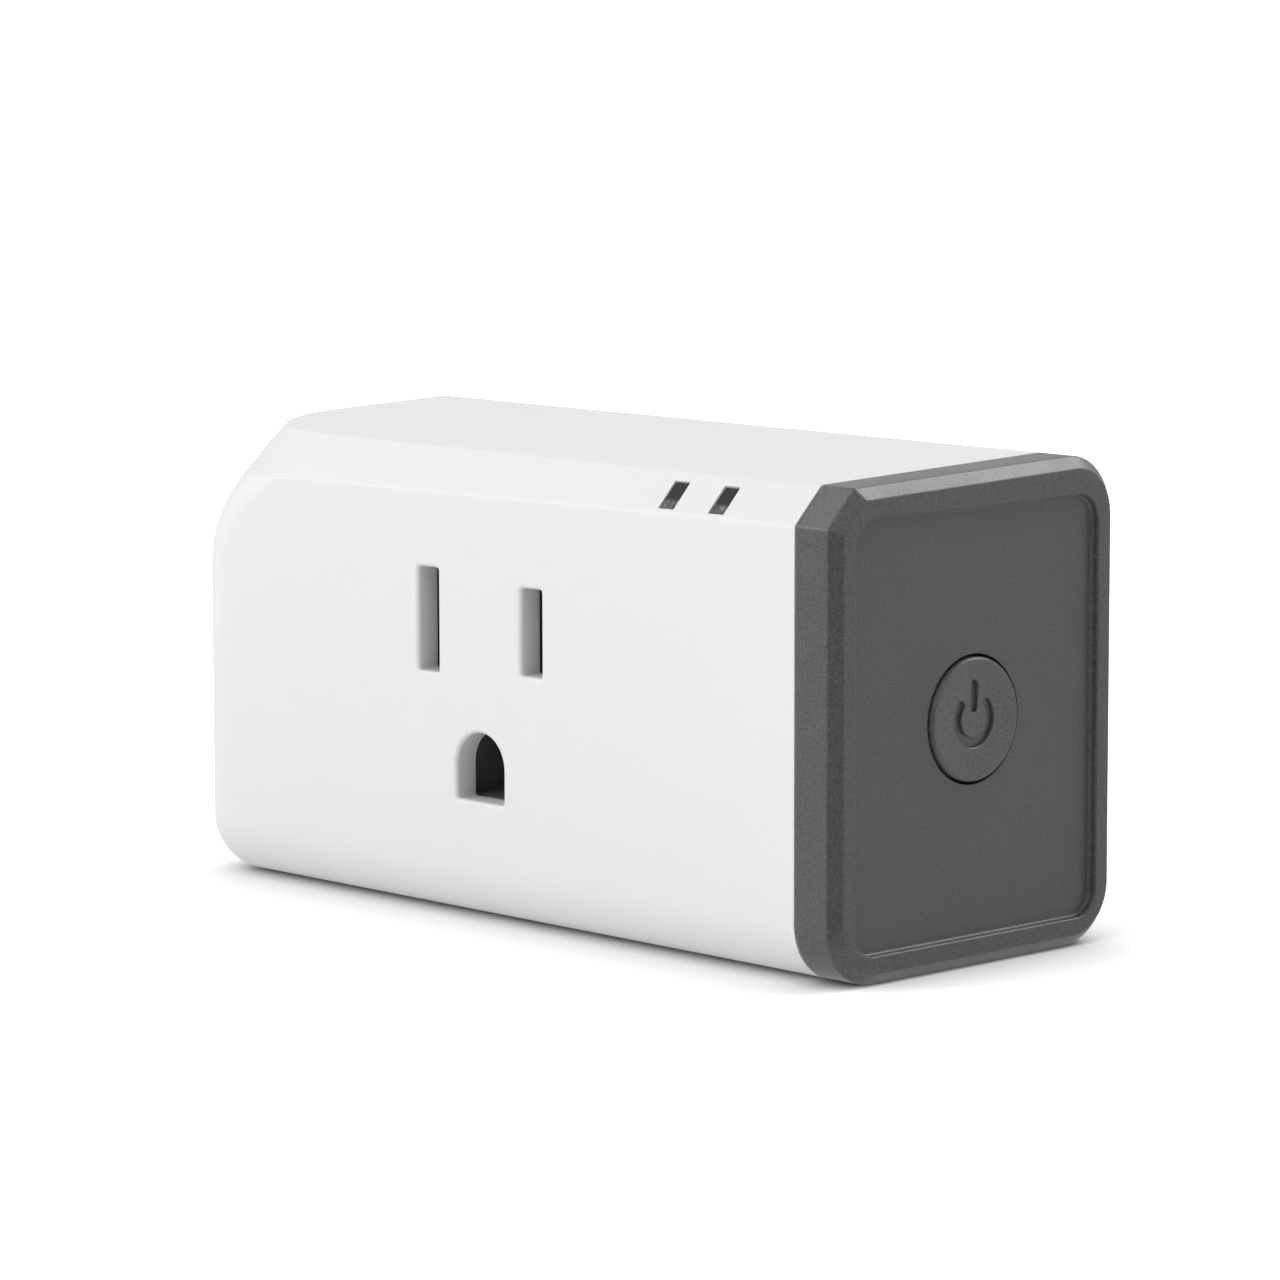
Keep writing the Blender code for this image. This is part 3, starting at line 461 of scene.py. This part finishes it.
def arch_outline(width, offset):
    half = width / 2 + offset
    corner = ARCH_CORNER + offset
    points = arc((0.0, 0.0), half, 0, 180, 24)
    points += arc((-half + corner, -half + corner), corner, 180, 270, 6)
    points += arc((half - corner, -half + corner), corner, 270, 360, 6)
    return points


def opening(name, outline, centre):
    """A cutter through the socket face with a rounded mouth."""
    rings = []
    for offset, deep in [*flare_steps(MOUTH_ROUND), (0.0, MOUTH_DEPTH)]:
        points = outline(offset)
        ring = [(centre[0] + x, FRONT + deep, centre[1] + z) for x, z in points]
        rings.append(ring)
    return loft(name, rings)


def blade_opening(name, x, height):
    def outline(offset):
        return slot_outline(SLOT_WIDTH, height, SLOT_CORNER, offset)

    return opening(name, outline, (x, BLADE_Z))


def ground_opening(name):
    def outline(offset):
        return arch_outline(GROUND_HOLE, offset)

    return opening(name, outline, (SOCKET_X, GROUND_Z))


def chamfer_frame(x):
    """A place on the chamfer, turned so that its own Z points straight out of it."""
    along = WINDOW_START + WINDOW_LENGTH / 2
    y = FRONT + along * math.sqrt(0.5)
    z = RIDGE + along * math.sqrt(0.5)
    turn = Matrix.Rotation(math.radians(45), 4, "X")
    return Matrix.Translation((x * MM, y * MM, z * MM)) @ turn


def window_prism(name, x, trim, depths, flare, corner):
    """A bar square to the chamfer; trim shrinks it, depths run from outside to inside."""
    steps = [(0.0, depths[0])]
    if flare:
        steps = [(offset, deep - 0.12) for offset, deep in flare_steps(flare)]
    steps.append((0.0, depths[1]))
    rings = []
    for offset, deep in steps:
        outline = slot_outline(WINDOW_WIDTH - trim, WINDOW_LENGTH - trim, corner, offset)
        rings.append([(across, along, -deep) for across, along in outline])
    bar = loft(name, rings)
    bar.data.transform(chamfer_frame(x))
    return bar


def window_places():
    for node in ("light_pipe_left", "light_pipe_right"):
        low, high = box_mm(node)
        yield node, (low.x + high.x) / 2


# ---------------------------------------------------------------- shells


def screw_places(stem, count):
    """Where the posts go, from the screws themselves."""
    for number in range(1, count + 1):
        low, high = box_mm(f"{stem}_{number}")
        yield (low.x + high.x) / 2, (low.z + high.z) / 2


def turned_y(name, radius, span, x, z, segments=32):
    return lathe(name, [(radius, span[0]), (radius, span[1])], "Y", (x, z), segments)


def make_housing():
    """The white shell: hollow, open at the back, with posts and standoffs for the screws."""
    shell = housing_form("housing_shell", 0.0, SEAM)
    cut(shell, housing_form("hollow", WALL, SEAM + 1.0))
    opening_x = (LEFT + COVER_INSET, SEAM - FRAME_WIDTH)
    opening_z = (COVER_INSET, REAR_HEIGHT - COVER_INSET)
    cut(shell, box("back", opening_x, (BACK - 6.0, BACK + 1.0), opening_z))
    span = POST_SPAN
    for x, z in screw_places("cover_screw", 4):
        wall_z = WALL - 0.5 if z < MIDDLE else REAR_HEIGHT - WALL + 0.2
        rib_z = (min(z, wall_z), max(z, wall_z))
        add(shell, turned_y("post", POST_RADIUS, span, x, z))
        add(shell, box("rib", (x - RIB_HALF, x + RIB_HALF), span, rib_z))
        if x < 0:
            rib_x = (LEFT + WALL - 0.5, x)
            add(shell, box("rib", rib_x, span, (z - RIB_HALF, z + RIB_HALF)))
        cut(shell, turned_y("bore", POST_BORE, (span[0] + 1.5, BACK), x, z, 20))
    for x, z in screw_places("pcb_screw", 2):
        add(shell, turned_y("standoff", STANDOFF_RADIUS, (FRONT + 1.0, STANDOFF_TOP), x, z))
        cut(shell, turned_y("bore", STANDOFF_BORE, (0.0, STANDOFF_TOP + 1.0), x, z, 20))
    cut(shell, blade_opening("slot", NEUTRAL_X, NEUTRAL_SLOT))
    cut(shell, blade_opening("slot", LINE_X, LINE_SLOT))
    cut(shell, ground_opening("slot"))
    for _, x in window_places():
        cut(shell, window_prism("window", x, 0.0, (-0.6, 3.4), 0.1, 0.12))
    return smooth(shell)


def cap_ring(x, inset, corner=None):
    """The plug's outline in YZ with a small radius on both edges of the chamfer.

    With a corner radius given, the outline is the panel's, and its top is level.
    """
    radius = corner or max(CORNER - inset, 0.6)
    near = inset + radius
    shift = inset * BEND_SHARE
    points = arc((FRONT + near, near), radius, 180, 270, 14)
    points += arc((BACK - near, near), radius, 270, 360, 14)
    points += arc((BACK - near, HEIGHT - near), radius, 0, 90, 14)
    ease = RIDGE_ROUND
    reach = ease * BEND_SHARE
    top = (FRONT + CHAMFER + shift, HEIGHT - inset)
    front = (FRONT + inset, RIDGE - shift)
    points += arc((top[0] + reach, top[1] - ease), ease, 90, 135, 4)
    points += arc((front[0] + ease, front[1] - reach), ease, 135, 180, 4)
    if corner:
        return [(x, y, z) for y, z in points]
    return [(x, y, raise_back(y, z)) for y, z in points]


def make_cap():
    """The end cap: recessed panel, raised rim, bevel, side band, spigot and button hole."""
    panel = RIGHT - PANEL_DEPTH
    panel_back = panel - PANEL_THICKNESS
    start = SEAM + SEAM_GAP
    spigot = WALL + 0.25
    rings = [
        cap_ring(x, inset, PANEL_CORNER + RIM_INSET - inset)
        for x, inset in (
            (panel, RIM_INSET + 0.3),
            (panel + 0.02, RIM_INSET + 0.17),
            (panel + 0.07, RIM_INSET + 0.08),
            (panel + 0.15, RIM_INSET + 0.02),
            (panel + 0.25, RIM_INSET),
            (RIGHT - 0.2, RIM_INSET),
            (RIGHT - 0.12, RIM_INSET - 0.02),
            (RIGHT - 0.05, RIM_INSET - 0.06),
            (RIGHT - 0.01, RIM_INSET - 0.13),
            (RIGHT, RIM_INSET - 0.2),
        )
    ]
    steps = [(RIGHT, CAP_BEVEL + 0.2), (RIGHT - 0.01, CAP_BEVEL + 0.12)]
    steps += [(RIGHT - 0.04, CAP_BEVEL + 0.05), (RIGHT - 0.1, CAP_BEVEL - 0.04)]
    steps += [(RIGHT - CAP_BEVEL + 0.08, 0.14), (RIGHT - CAP_BEVEL, 0.07)]
    steps += [(RIGHT - CAP_BEVEL - 0.08, 0.02), (RIGHT - CAP_BEVEL - 0.18, 0.0)]
    steps += [(start + 0.12, 0.0), (start + 0.04, 0.04), (start, 0.12), (start, spigot)]
    steps += [(SEAM - 2.7, spigot), (SEAM - 3.0, spigot + 0.3), (SEAM - 3.0, spigot + 1.2)]
    steps += [(panel_back, spigot + 1.2)]
    rings += [cap_ring(x, inset) for x, inset in steps]
    shell = loft("cap_shell", rings)
    guide = [(GUIDE_RADIUS, panel_back - 3.2), (GUIDE_RADIUS, panel_back + 0.4)]
    add(shell, lathe("guide", guide, "X", (0.0, MIDDLE), 64))
    bore = [(GUIDE_BORE, panel_back - 4.0), (GUIDE_BORE, panel_back)]
    cut(shell, lathe("bore", bore, "X", (0.0, MIDDLE), 64))
    ease = HOLE_EASE
    hole = [(BUTTON_HOLE, panel_back - 1.0), (BUTTON_HOLE, panel - ease)]
    for angle in (30, 60, 90):
        turn = math.radians(angle)
        radius = BUTTON_HOLE + ease * (1 - math.cos(turn))
        hole.append((radius, panel - ease + ease * math.sin(turn)))
    hole.append((BUTTON_HOLE + ease, RIGHT + 1.0))
    cut(shell, lathe("hole", hole, "X", (0.0, MIDDLE), 128))
    return smooth(shell)


# ---------------------------------------------------------------- button


def groove_section(floor, face):
    """Half of a square groove with eased edges: distance from its middle, and level."""
    half = SYMBOL_STROKE / 2
    ease = SYMBOL_EASE
    return [(half, floor), (half, face - ease), (half + 3 * ease, face + 2 * ease)]


def engraver(name, spine, floor, face):
    """A tool that sweeps the groove along a path of (y, z, across)."""
    section = groove_section(floor, face)
    rings = []
    for y, z, (side_y, side_z) in spine:
        right = [(x, y + side_y * away, z + side_z * away) for away, x in section]
        left = [(x, y - side_y * away, z - side_z * away) for away, x in reversed(section)]
        rings.append(right + left)
    return loft(name, rings)


def symbol_tools(face, floor):
    """The open ring and the bar of the power symbol, both with round ends."""
    ring = []
    start, end = SYMBOL_OPENING
    for step in range(65):
        angle = math.radians(start + (end - start) * step / 64)
        side = (math.cos(angle), math.sin(angle))
        ring.append((SYMBOL_RADIUS * side[0], MIDDLE + SYMBOL_RADIUS * side[1], side))
    bar = [(0.0, MIDDLE + level, (1.0, 0.0)) for level in SYMBOL_BAR]
    tools = [engraver("ring", ring, floor, face), engraver("bar", bar, floor, face)]
    for place in (ring[0], ring[-1], bar[0], bar[-1]):
        section = groove_section(floor + 0.004, face)
        tools.append(lathe("end", section, "X", place[:2], 48))
    return tools


def make_button():
    """The dished round button with its engraved symbol, flange and stem."""
    face = BUTTON_HIGH.x
    back = RIGHT - PANEL_DEPTH - PANEL_THICKNESS - 0.35
    edge = BUTTON_EDGE
    rim = BUTTON_RADIUS - edge
    dish = BUTTON_DISH
    profile = []
    for step in range(13):
        share = step / 12
        profile.append((max(rim * share, 0.001), face - dish * (1 - share * share)))
    profile += arc((rim, face - edge), edge, 84, 0, 8)
    profile += [(BUTTON_RADIUS, back), (FLANGE_RADIUS, back), (FLANGE_RADIUS, back - 1.0)]
    profile += [(STEM_RADIUS, back - 1.0), (STEM_RADIUS, BUTTON_LOW.x), (0.001, BUTTON_LOW.x)]
    button = lathe("button_cap", profile, "X", (0.0, MIDDLE), 128)
    cut(button, *symbol_tools(face - dish + 0.04, face - dish - SYMBOL_DEPTH))
    close_slivers(button)
    return smooth(button, 30)


# ---------------------------------------------------------------- prongs and screws


def make_blade(name, node):
    """A flat blade with clipped corners and a hole, its foot and its tail."""
    low, high = box_mm(node)
    x = (low.x + high.x) / 2
    blade = box(name, (x - BLADE_HALF, x + BLADE_HALF), (BLADE_ROOT, high.y), (low.z, high.z))
    reach = BLADE_CLIP * 0.7072
    for z in (low.z, high.z):
        corner = box("clip", (-1.0, 1.0), (-reach, reach), (-reach, reach))
        corner.data.transform(Matrix.Rotation(math.radians(45), 4, "X"))
        corner.data.transform(Matrix.Translation((x * MM, high.y * MM, z * MM)))
        cut(blade, corner)
    hole = [(BLADE_HOLE_RADIUS, x - 2.0), (BLADE_HOLE_RADIUS, x + 2.0)]
    cut(blade, lathe("hole", hole, "X", (BACK + BLADE_HOLE_REACH, BLADE_Z), 40))
    soften(blade, 0.18)
    add(blade, box("foot", (x - 2.0, x + 2.0), FOOT_SPAN, (low.z, high.z)))
    add(blade, box("tail", (x - 0.6, x + 0.6), (5.4, 8.8), (BLADE_Z + 0.8, BLADE_Z + 3.0)))
    return smooth(blade)


def make_pin():
    """The round ground pin with its domed tip, and its foot and tail inside."""
    tip = PIN_HIGH.y
    radius = PIN_RADIUS
    foot, root = FOOT_SPAN
    profile = [(0.001, PIN_LOW.y), (1.5, PIN_LOW.y), (1.5, foot), (3.5, foot), (3.5, root)]
    profile += [(radius, root), (radius, 14.0), (radius, tip - radius)]
    for across, along in arc((0.0, tip - radius), radius, 6, 90, 12):
        profile.append((max(across, 0.001), along))
    return smooth(lathe("pin_shaft", profile, "Y", (SOCKET_X, GROUND_Z), 64))


def make_screw(name, node, head_height, head_radius, shank_radius):
    """A pan head screw with a cross recess and a thread."""
    low, high = box_mm(node)
    x = (low.x + high.x) / 2
    z = (low.z + high.z) / 2
    top = high.y
    under = top - head_height
    profile = [(0.001, low.y), (shank_radius * 0.8, low.y + 0.6)]
    root = shank_radius * 0.78
    pitch = (under - 0.4 - (low.y + 0.6)) / THREAD_TURNS
    for turn in range(THREAD_TURNS):
        base = low.y + 0.6 + pitch * turn
        profile += [(root, base), (shank_radius, base + pitch * 0.5)]
    profile += [(root, under - 0.4), (shank_radius, under), (head_radius - 0.1, under)]
    profile += [(head_radius, under + 0.12)]
    for across, up in arc((0.0, 0.0), 1.0, 12, 88, 8):
        profile.append((head_radius * across, under + 0.12 + (head_height - 0.12) * up))
    profile.append((0.001, top))
    screw = lathe(name, profile, "Y", (x, z), 48)
    recess = (top - head_height * 0.6, top + 1.0)
    arm = head_radius * 0.55
    half = CROSS_HALF
    cross = box("cross", (x - arm, x + arm), recess, (z - half, z + half))
    add(cross, box("cross", (x - half, x + half), recess, (z - arm, z + arm)))
    cut(screw, cross)
    close_slivers(screw)
    return smooth(screw)


def make_light_pipe(name, x):
    """A clear bar whose outer end sits just below its window."""
    pipe = window_prism(name, x, 0.1, (0.18, 4.4), 0.0, 0.15)
    soften(pipe, 0.08, 2, 50)
    return smooth(pipe)


# ---------------------------------------------------------------- materials


class Nodes:
    """A short way to wire one material."""

    def __init__(self, name):
        self.material = bpy.data.materials.new(name)
        self.material.use_nodes = True
        self.tree = self.material.node_tree
        self.shader = self.tree.nodes["Principled BSDF"]
        self.place = self.add("ShaderNodeTexCoord").outputs["Object"]

    def add(self, kind, **settings):
        node = self.tree.nodes.new(kind)
        for key, value in settings.items():
            setattr(node, key, value)
        return node

    def link(self, source, target):
        self.tree.links.new(source, target)

    def noise(self, scale, detail=4.0, roughness=0.55, stretch=None):
        texture = self.add("ShaderNodeTexNoise")
        texture.inputs["Scale"].default_value = scale
        texture.inputs["Detail"].default_value = detail
        texture.inputs["Roughness"].default_value = roughness
        place = self.place
        if stretch:
            mapping = self.add("ShaderNodeMapping")
            mapping.inputs["Scale"].default_value = stretch
            self.link(place, mapping.inputs["Vector"])
            place = mapping.outputs["Vector"]
        self.link(place, texture.inputs["Vector"])
        return texture.outputs["Fac"]

    def ramp(self, value, start, end, first, last):
        scale = self.add("ShaderNodeMapRange")
        scale.inputs["From Min"].default_value = start
        scale.inputs["From Max"].default_value = end
        scale.inputs["To Min"].default_value = first
        scale.inputs["To Max"].default_value = last
        self.link(value, scale.inputs["Value"])
        return scale.outputs["Result"]

    def spread(self, value, low, high):
        """Stretch the middle of a noise's values to a range."""
        return self.ramp(value, 0.3, 0.7, low, high)

    def blend(self, factor, first, second):
        mix = self.add("ShaderNodeMix", data_type="RGBA", clamp_factor=False)
        mix.inputs[6].default_value = (*first, 1.0)
        mix.inputs[7].default_value = (*second, 1.0)
        self.link(factor, mix.inputs[0])
        return mix.outputs[2]

    def bump(self, height, strength, distance):
        bump = self.add("ShaderNodeBump")
        bump.inputs["Strength"].default_value = strength
        bump.inputs["Distance"].default_value = distance * MM
        self.link(height, bump.inputs["Height"])
        self.link(bump.outputs["Normal"], self.shader.inputs["Normal"])

    def set(self, socket, value):
        self.shader.inputs[socket].default_value = value


def tint(colour, factor):
    return tuple(min(channel * factor, 1.0) for channel in colour)


def moulded(name, colour, roughness, grain, depth, variation=0.03, speckle=0.0):
    """Moulded plastic: a fine spark-eroded grain, faint mottling and uneven gloss."""
    nodes = Nodes(name)
    mottle = nodes.noise(60.0, 3.0)
    if speckle:
        fleck = nodes.spread(nodes.noise(grain, 2.0), -speckle / variation, speckle / variation)
        total = nodes.add("ShaderNodeMath", operation="ADD")
        nodes.link(mottle, total.inputs[0])
        nodes.link(fleck, total.inputs[1])
        mottle = total.outputs[0]
    colours = nodes.blend(mottle, tint(colour, 1 - variation), tint(colour, 1 + variation))
    nodes.link(colours, nodes.shader.inputs["Base Color"])
    cloud = nodes.noise(220.0, 5.0)
    gloss = nodes.spread(cloud, roughness - 0.04, roughness + 0.05)
    nodes.link(gloss, nodes.shader.inputs["Roughness"])
    nodes.bump(nodes.noise(grain, 6.0, 0.65), 0.35, depth)
    return nodes.material


def metal(name, colour, roughness, stretch, scale=900.0, depth=0.01):
    """Plated or rolled metal with fine draw lines and handling marks."""
    nodes = Nodes(name)
    lines = nodes.noise(scale, 6.0, 0.6, stretch)
    stain = nodes.noise(90.0, 4.0)
    colours = nodes.blend(stain, tint(colour, 0.86), tint(colour, 1.08))
    nodes.link(colours, nodes.shader.inputs["Base Color"])
    gloss = nodes.spread(lines, roughness - 0.08, roughness + 0.12)
    nodes.link(gloss, nodes.shader.inputs["Roughness"])
    nodes.bump(lines, 0.25, depth)
    nodes.set("Metallic", 1.0)
    return nodes.material


def white_plastic(name):
    return moulded(name, (0.632, 0.632, 0.632), 0.42, 2600.0, 0.012, 0.008)


def grey_plastic(name, level):
    material = moulded(name, (level, level, level), 0.33, 6500.0, 0.04, 0.06, 0.2)
    shader = material.node_tree.nodes["Principled BSDF"]
    shader.inputs["Specular IOR Level"].default_value = 0.6
    return material


def black_plastic(name):
    return moulded(name, (0.022, 0.022, 0.024), 0.45, 2400.0, 0.02, 0.12)


def smoky_plastic(name):
    """A dark lens with painted light: a paler, specked band near its lower edge stands in for the
    lit light pipe seen through it.
    """
    nodes = Nodes(name)
    # Painted light: the lens colour turns paler in a band just above its lower edge, with specks
    split = nodes.add("ShaderNodeSeparateXYZ")
    nodes.link(nodes.place, split.inputs["Vector"])
    low = WINDOW_LOW_Z * MM
    fade = nodes.ramp(split.outputs["Z"], low + 0.0004, low + 0.0007, 1.0, 0.0)
    fleck = nodes.ramp(nodes.noise(2600.0, 3.0, 0.8), 0.5, 0.6, 0.3, 1.2)
    painted_pipe_light = nodes.add("ShaderNodeMath", operation="MULTIPLY")
    nodes.link(fade, painted_pipe_light.inputs[0])
    nodes.link(fleck, painted_pipe_light.inputs[1])
    colours = nodes.blend(painted_pipe_light.outputs[0], (0.006, 0.006, 0.006), (0.16, 0.16, 0.16))
    nodes.link(colours, nodes.shader.inputs["Base Color"])
    nodes.set("Specular IOR Level", 0.2)
    gloss = nodes.spread(nodes.noise(700.0, 3.0), 0.14, 0.3)
    nodes.link(gloss, nodes.shader.inputs["Roughness"])
    return nodes.material


def glossy(name, colour, roughness, scale=500.0, variation=0.12, depth=0.01):
    """Cast resin, sleeves and lenses: smooth, slightly mottled, with small dents."""
    nodes = Nodes(name)
    mottle = nodes.noise(scale, 4.0)
    colours = nodes.blend(mottle, tint(colour, 1 - variation), tint(colour, 1 + variation))
    nodes.link(colours, nodes.shader.inputs["Base Color"])
    gloss = nodes.spread(nodes.noise(scale * 1.7, 3.0), roughness - 0.06, roughness + 0.08)
    nodes.link(gloss, nodes.shader.inputs["Roughness"])
    nodes.bump(nodes.noise(scale * 3.0, 3.0), 0.2, depth)
    return nodes.material


def circuit_board(name):
    """Green solder mask over copper tracks, with the weave just visible."""
    nodes = Nodes(name)
    cells = nodes.add("ShaderNodeTexBrick", offset=0.5)
    cells.inputs["Scale"].default_value = 260.0
    cells.inputs["Mortar Size"].default_value = 0.08
    cells.inputs["Color1"].default_value = (0.012, 0.11, 0.05, 1.0)
    cells.inputs["Color2"].default_value = (0.018, 0.15, 0.07, 1.0)
    cells.inputs["Mortar"].default_value = (0.03, 0.21, 0.1, 1.0)
    turned = nodes.add("ShaderNodeMapping")
    turned.inputs["Rotation"].default_value = (math.pi / 2, 0.0, 0.0)
    nodes.link(nodes.place, turned.inputs["Vector"])
    nodes.link(turned.outputs["Vector"], cells.inputs["Vector"])
    nodes.link(cells.outputs["Color"], nodes.shader.inputs["Base Color"])
    gloss = nodes.spread(nodes.noise(900.0, 4.0), 0.28, 0.42)
    nodes.link(gloss, nodes.shader.inputs["Roughness"])
    nodes.bump(cells.outputs["Fac"], 0.3, 0.02)
    return nodes.material


def wound_wire(name):
    """Enamelled copper wire, wound round the Y axis, and the same tone on flat strip."""
    nodes = Nodes(name)
    turns = nodes.add("ShaderNodeTexWave", wave_type="BANDS", bands_direction="Y")
    turns.inputs["Scale"].default_value = 900.0
    turns.inputs["Distortion"].default_value = 0.3
    nodes.link(nodes.place, turns.inputs["Vector"])
    colours = nodes.blend(turns.outputs["Fac"], (0.42, 0.13, 0.05), (0.85, 0.4, 0.2))
    nodes.link(colours, nodes.shader.inputs["Base Color"])
    gloss = nodes.spread(nodes.noise(900.0, 3.0), 0.25, 0.42)
    nodes.link(gloss, nodes.shader.inputs["Roughness"])
    nodes.bump(turns.outputs["Fac"], 0.4, 0.05)
    nodes.set("Metallic", 1.0)
    return nodes.material


# ---------------------------------------------------------------- pieces


def show(piece, node, material):
    """A finer piece stands for its CAD node and rides on the node's body."""
    piece.data.materials.clear()
    piece.data.materials.append(material)
    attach(piece, NODES[node]["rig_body"])
    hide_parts(node)


def by_slot():
    """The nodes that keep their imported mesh, and the material each one gets."""
    black = black_plastic("black_plastic")
    charcoal = moulded("charcoal_plastic", (0.14, 0.14, 0.145), 0.5, 2400.0, 0.02, 0.1)
    brass = metal("brass_strip", (0.72, 0.5, 0.22), 0.28, (0.3, 1.0, 1.0))
    steel = metal("stamped_steel", (0.58, 0.58, 0.6), 0.28, (1.0, 0.2, 1.0))
    board = circuit_board("circuit_board")
    blue = glossy("blue_resin", (0.03, 0.1, 0.34), 0.3)
    yellow = glossy("yellow_resin", (0.74, 0.5, 0.07), 0.34)
    sleeve = glossy("dark_sleeve", (0.03, 0.035, 0.06), 0.3)
    copper = wound_wire("copper")
    return (
        (charcoal, "receptacle_holder"),
        (black, "bridge_rectifier fuse header_strip relay_base"),
        (black, "relay_bobbin tact_base tact_plunger transformer_bobbin"),
        (brass, "neutral_contact line_contact ground_contact"),
        (steel, "relay_armature relay_core relay_yoke tact_cover tact_dome wifi_shield"),
        (copper, "relay_coil relay_common_terminal relay_fixed_contact relay_moving_spring"),
        (board, "main_pcb control_pcb button_pcb wifi_module_board"),
        (glossy("ferrite", (0.03, 0.03, 0.033), 0.6, 900.0, 0.3), "transformer_core"),
        (blue, "relay_cover varistor"),
        (yellow, "x_capacitor transformer_winding"),
        (sleeve, "bulk_capacitor_1 bulk_capacitor_2 output_capacitor"),
        (glossy("led_lens", (0.8, 0.78, 0.62), 0.25), "status_led_left status_led_right"),
    )


def dress(node, material):
    data = NODES[node].data
    for index in range(len(data.materials)):
        data.materials[index] = material


def build_pieces():
    white = white_plastic("white_plastic")
    grey = grey_plastic("grey_plastic", 0.061)
    button_grey = grey_plastic("button_plastic", 0.071)
    nickel = metal("nickel_plate", (0.72, 0.68, 0.60), 0.24, (1.0, 0.08, 1.0))
    steel = metal("bare_steel", (0.55, 0.55, 0.56), 0.3, (1.0, 0.2, 1.0))
    smoky = smoky_plastic("smoky_plastic")
    show(make_housing(), "front_housing", white)
    show(make_cap(), "end_cap", grey)
    show(make_button(), "power_button", button_grey)
    show(make_blade("neutral_prong", "neutral_blade"), "neutral_blade", nickel)
    show(make_blade("line_prong", "line_blade"), "line_blade", nickel)
    show(make_pin(), "ground_pin", nickel)
    for number in range(1, 5):
        node = f"cover_screw_{number}"
        show(make_screw(f"cover_fixing_{number}", node, 1.1, 1.9, 1.0), node, steel)
    for number in (1, 2):
        node = f"pcb_screw_{number}"
        show(make_screw(f"board_fixing_{number}", node, 1.0, 1.8, 0.8), node, steel)
    for node, x in window_places():
        name = node.replace("light_pipe", "window_lens")
        show(make_light_pipe(name, x), node, smoky)
    dress("rear_cover", white)
    for material, names in by_slot():
        for node in names.split():
            dress(node, material)


# ---------------------------------------------------------------- stage, light and camera


def make_floor():
    """Pale paper with a painted contact shadow: camera rays see its colour darkened where the
    object comes close to it.
    """
    bpy.ops.mesh.primitive_plane_add(size=FLOOR_SIZE, location=(0.0, 0.0, 0.0))
    floor = bpy.context.object
    floor.name = "floor"
    nodes = Nodes("floor_paper")
    # Painted shadow: ambient occlusion darkens the paper's colour near the object, for camera rays
    # only
    contact = nodes.add("ShaderNodeAmbientOcclusion", samples=16)
    contact.inputs["Distance"].default_value = PAINTED_SHADOW_REACH
    seen = nodes.add("ShaderNodeLightPath").outputs["Is Camera Ray"]
    shade = nodes.ramp(contact.outputs["AO"], 0.0, 1.0, 0.4, 1.25)
    paper = nodes.add("ShaderNodeMix")
    paper.inputs["A"].default_value = 0.98
    nodes.link(seen, paper.inputs["Factor"])
    nodes.link(shade, paper.inputs["B"])
    nodes.link(paper.outputs["Result"], nodes.shader.inputs["Base Color"])
    nodes.set("Roughness", 0.9)
    nodes.set("Specular IOR Level", 0.0)
    floor.data.materials.append(nodes.material)
    floor.visible_glossy = False


def lobe(tree, facing, start, end, first, last):
    """Ramp a value from first to last as the view nears a direction."""
    place = tree.nodes.new("ShaderNodeTexCoord")
    towards = tree.nodes.new("ShaderNodeVectorMath")
    towards.operation = "DOT_PRODUCT"
    length = math.hypot(*facing)
    towards.inputs[1].default_value = [value / length for value in facing]
    tree.links.new(place.outputs["Generated"], towards.inputs[0])
    ramp = tree.nodes.new("ShaderNodeMapRange")
    ramp.interpolation_type = "SMOOTHSTEP"
    ramp.inputs["From Min"].default_value = start
    ramp.inputs["From Max"].default_value = end
    ramp.inputs["To Min"].default_value = first
    ramp.inputs["To Max"].default_value = last
    tree.links.new(towards.outputs["Value"], ramp.inputs["Value"])
    return ramp.outputs["Result"]


def combine(tree, operation, first, second):
    node = tree.nodes.new("ShaderNodeMath")
    node.operation = operation
    tree.links.new(first, node.inputs[0])
    tree.links.new(second, node.inputs[1])
    return node.outputs[0]


def make_world():
    """A pale tent with a key light to the front left, one behind, and a dark patch."""
    world = bpy.data.worlds.new("studio")
    bpy.context.scene.world = world
    world.use_nodes = True
    tree = world.node_tree
    tent = tree.nodes["Background"]
    key = combine(tree, "MULTIPLY", lobe(tree, *KEY_LIGHT), lobe(tree, *ABOVE_HORIZON))
    lights = combine(tree, "ADD", key, lobe(tree, *BACK_LIGHT))
    level = combine(tree, "ADD", lights, lobe(tree, *DARK_PATCH))
    tree.links.new(level, tent.inputs["Strength"])
    tent.inputs["Color"].default_value = (1.0, 1.0, 1.0, 1.0)


def make_camera():
    data = bpy.data.cameras.new("camera")
    data.lens = CAMERA_LENS
    data.sensor_width = 36.0
    data.clip_start = 0.01
    camera = bpy.data.objects.new("camera", data)
    bpy.context.scene.collection.objects.link(camera)
    turn = Matrix.Rotation(math.radians(CAMERA_TURN), 4, "Z")
    tilt = Matrix.Rotation(math.radians(90.0 - CAMERA_TILT), 4, "X")
    roll = Matrix.Rotation(math.radians(CAMERA_ROLL), 4, "Z")
    camera.matrix_world = Matrix.Translation(CAMERA_PLACE) @ turn @ tilt @ roll
    bpy.context.scene.camera = camera


build_pieces()
make_floor()
make_world()
make_camera()
bpy.context.scene.view_settings.view_transform = "Standard"
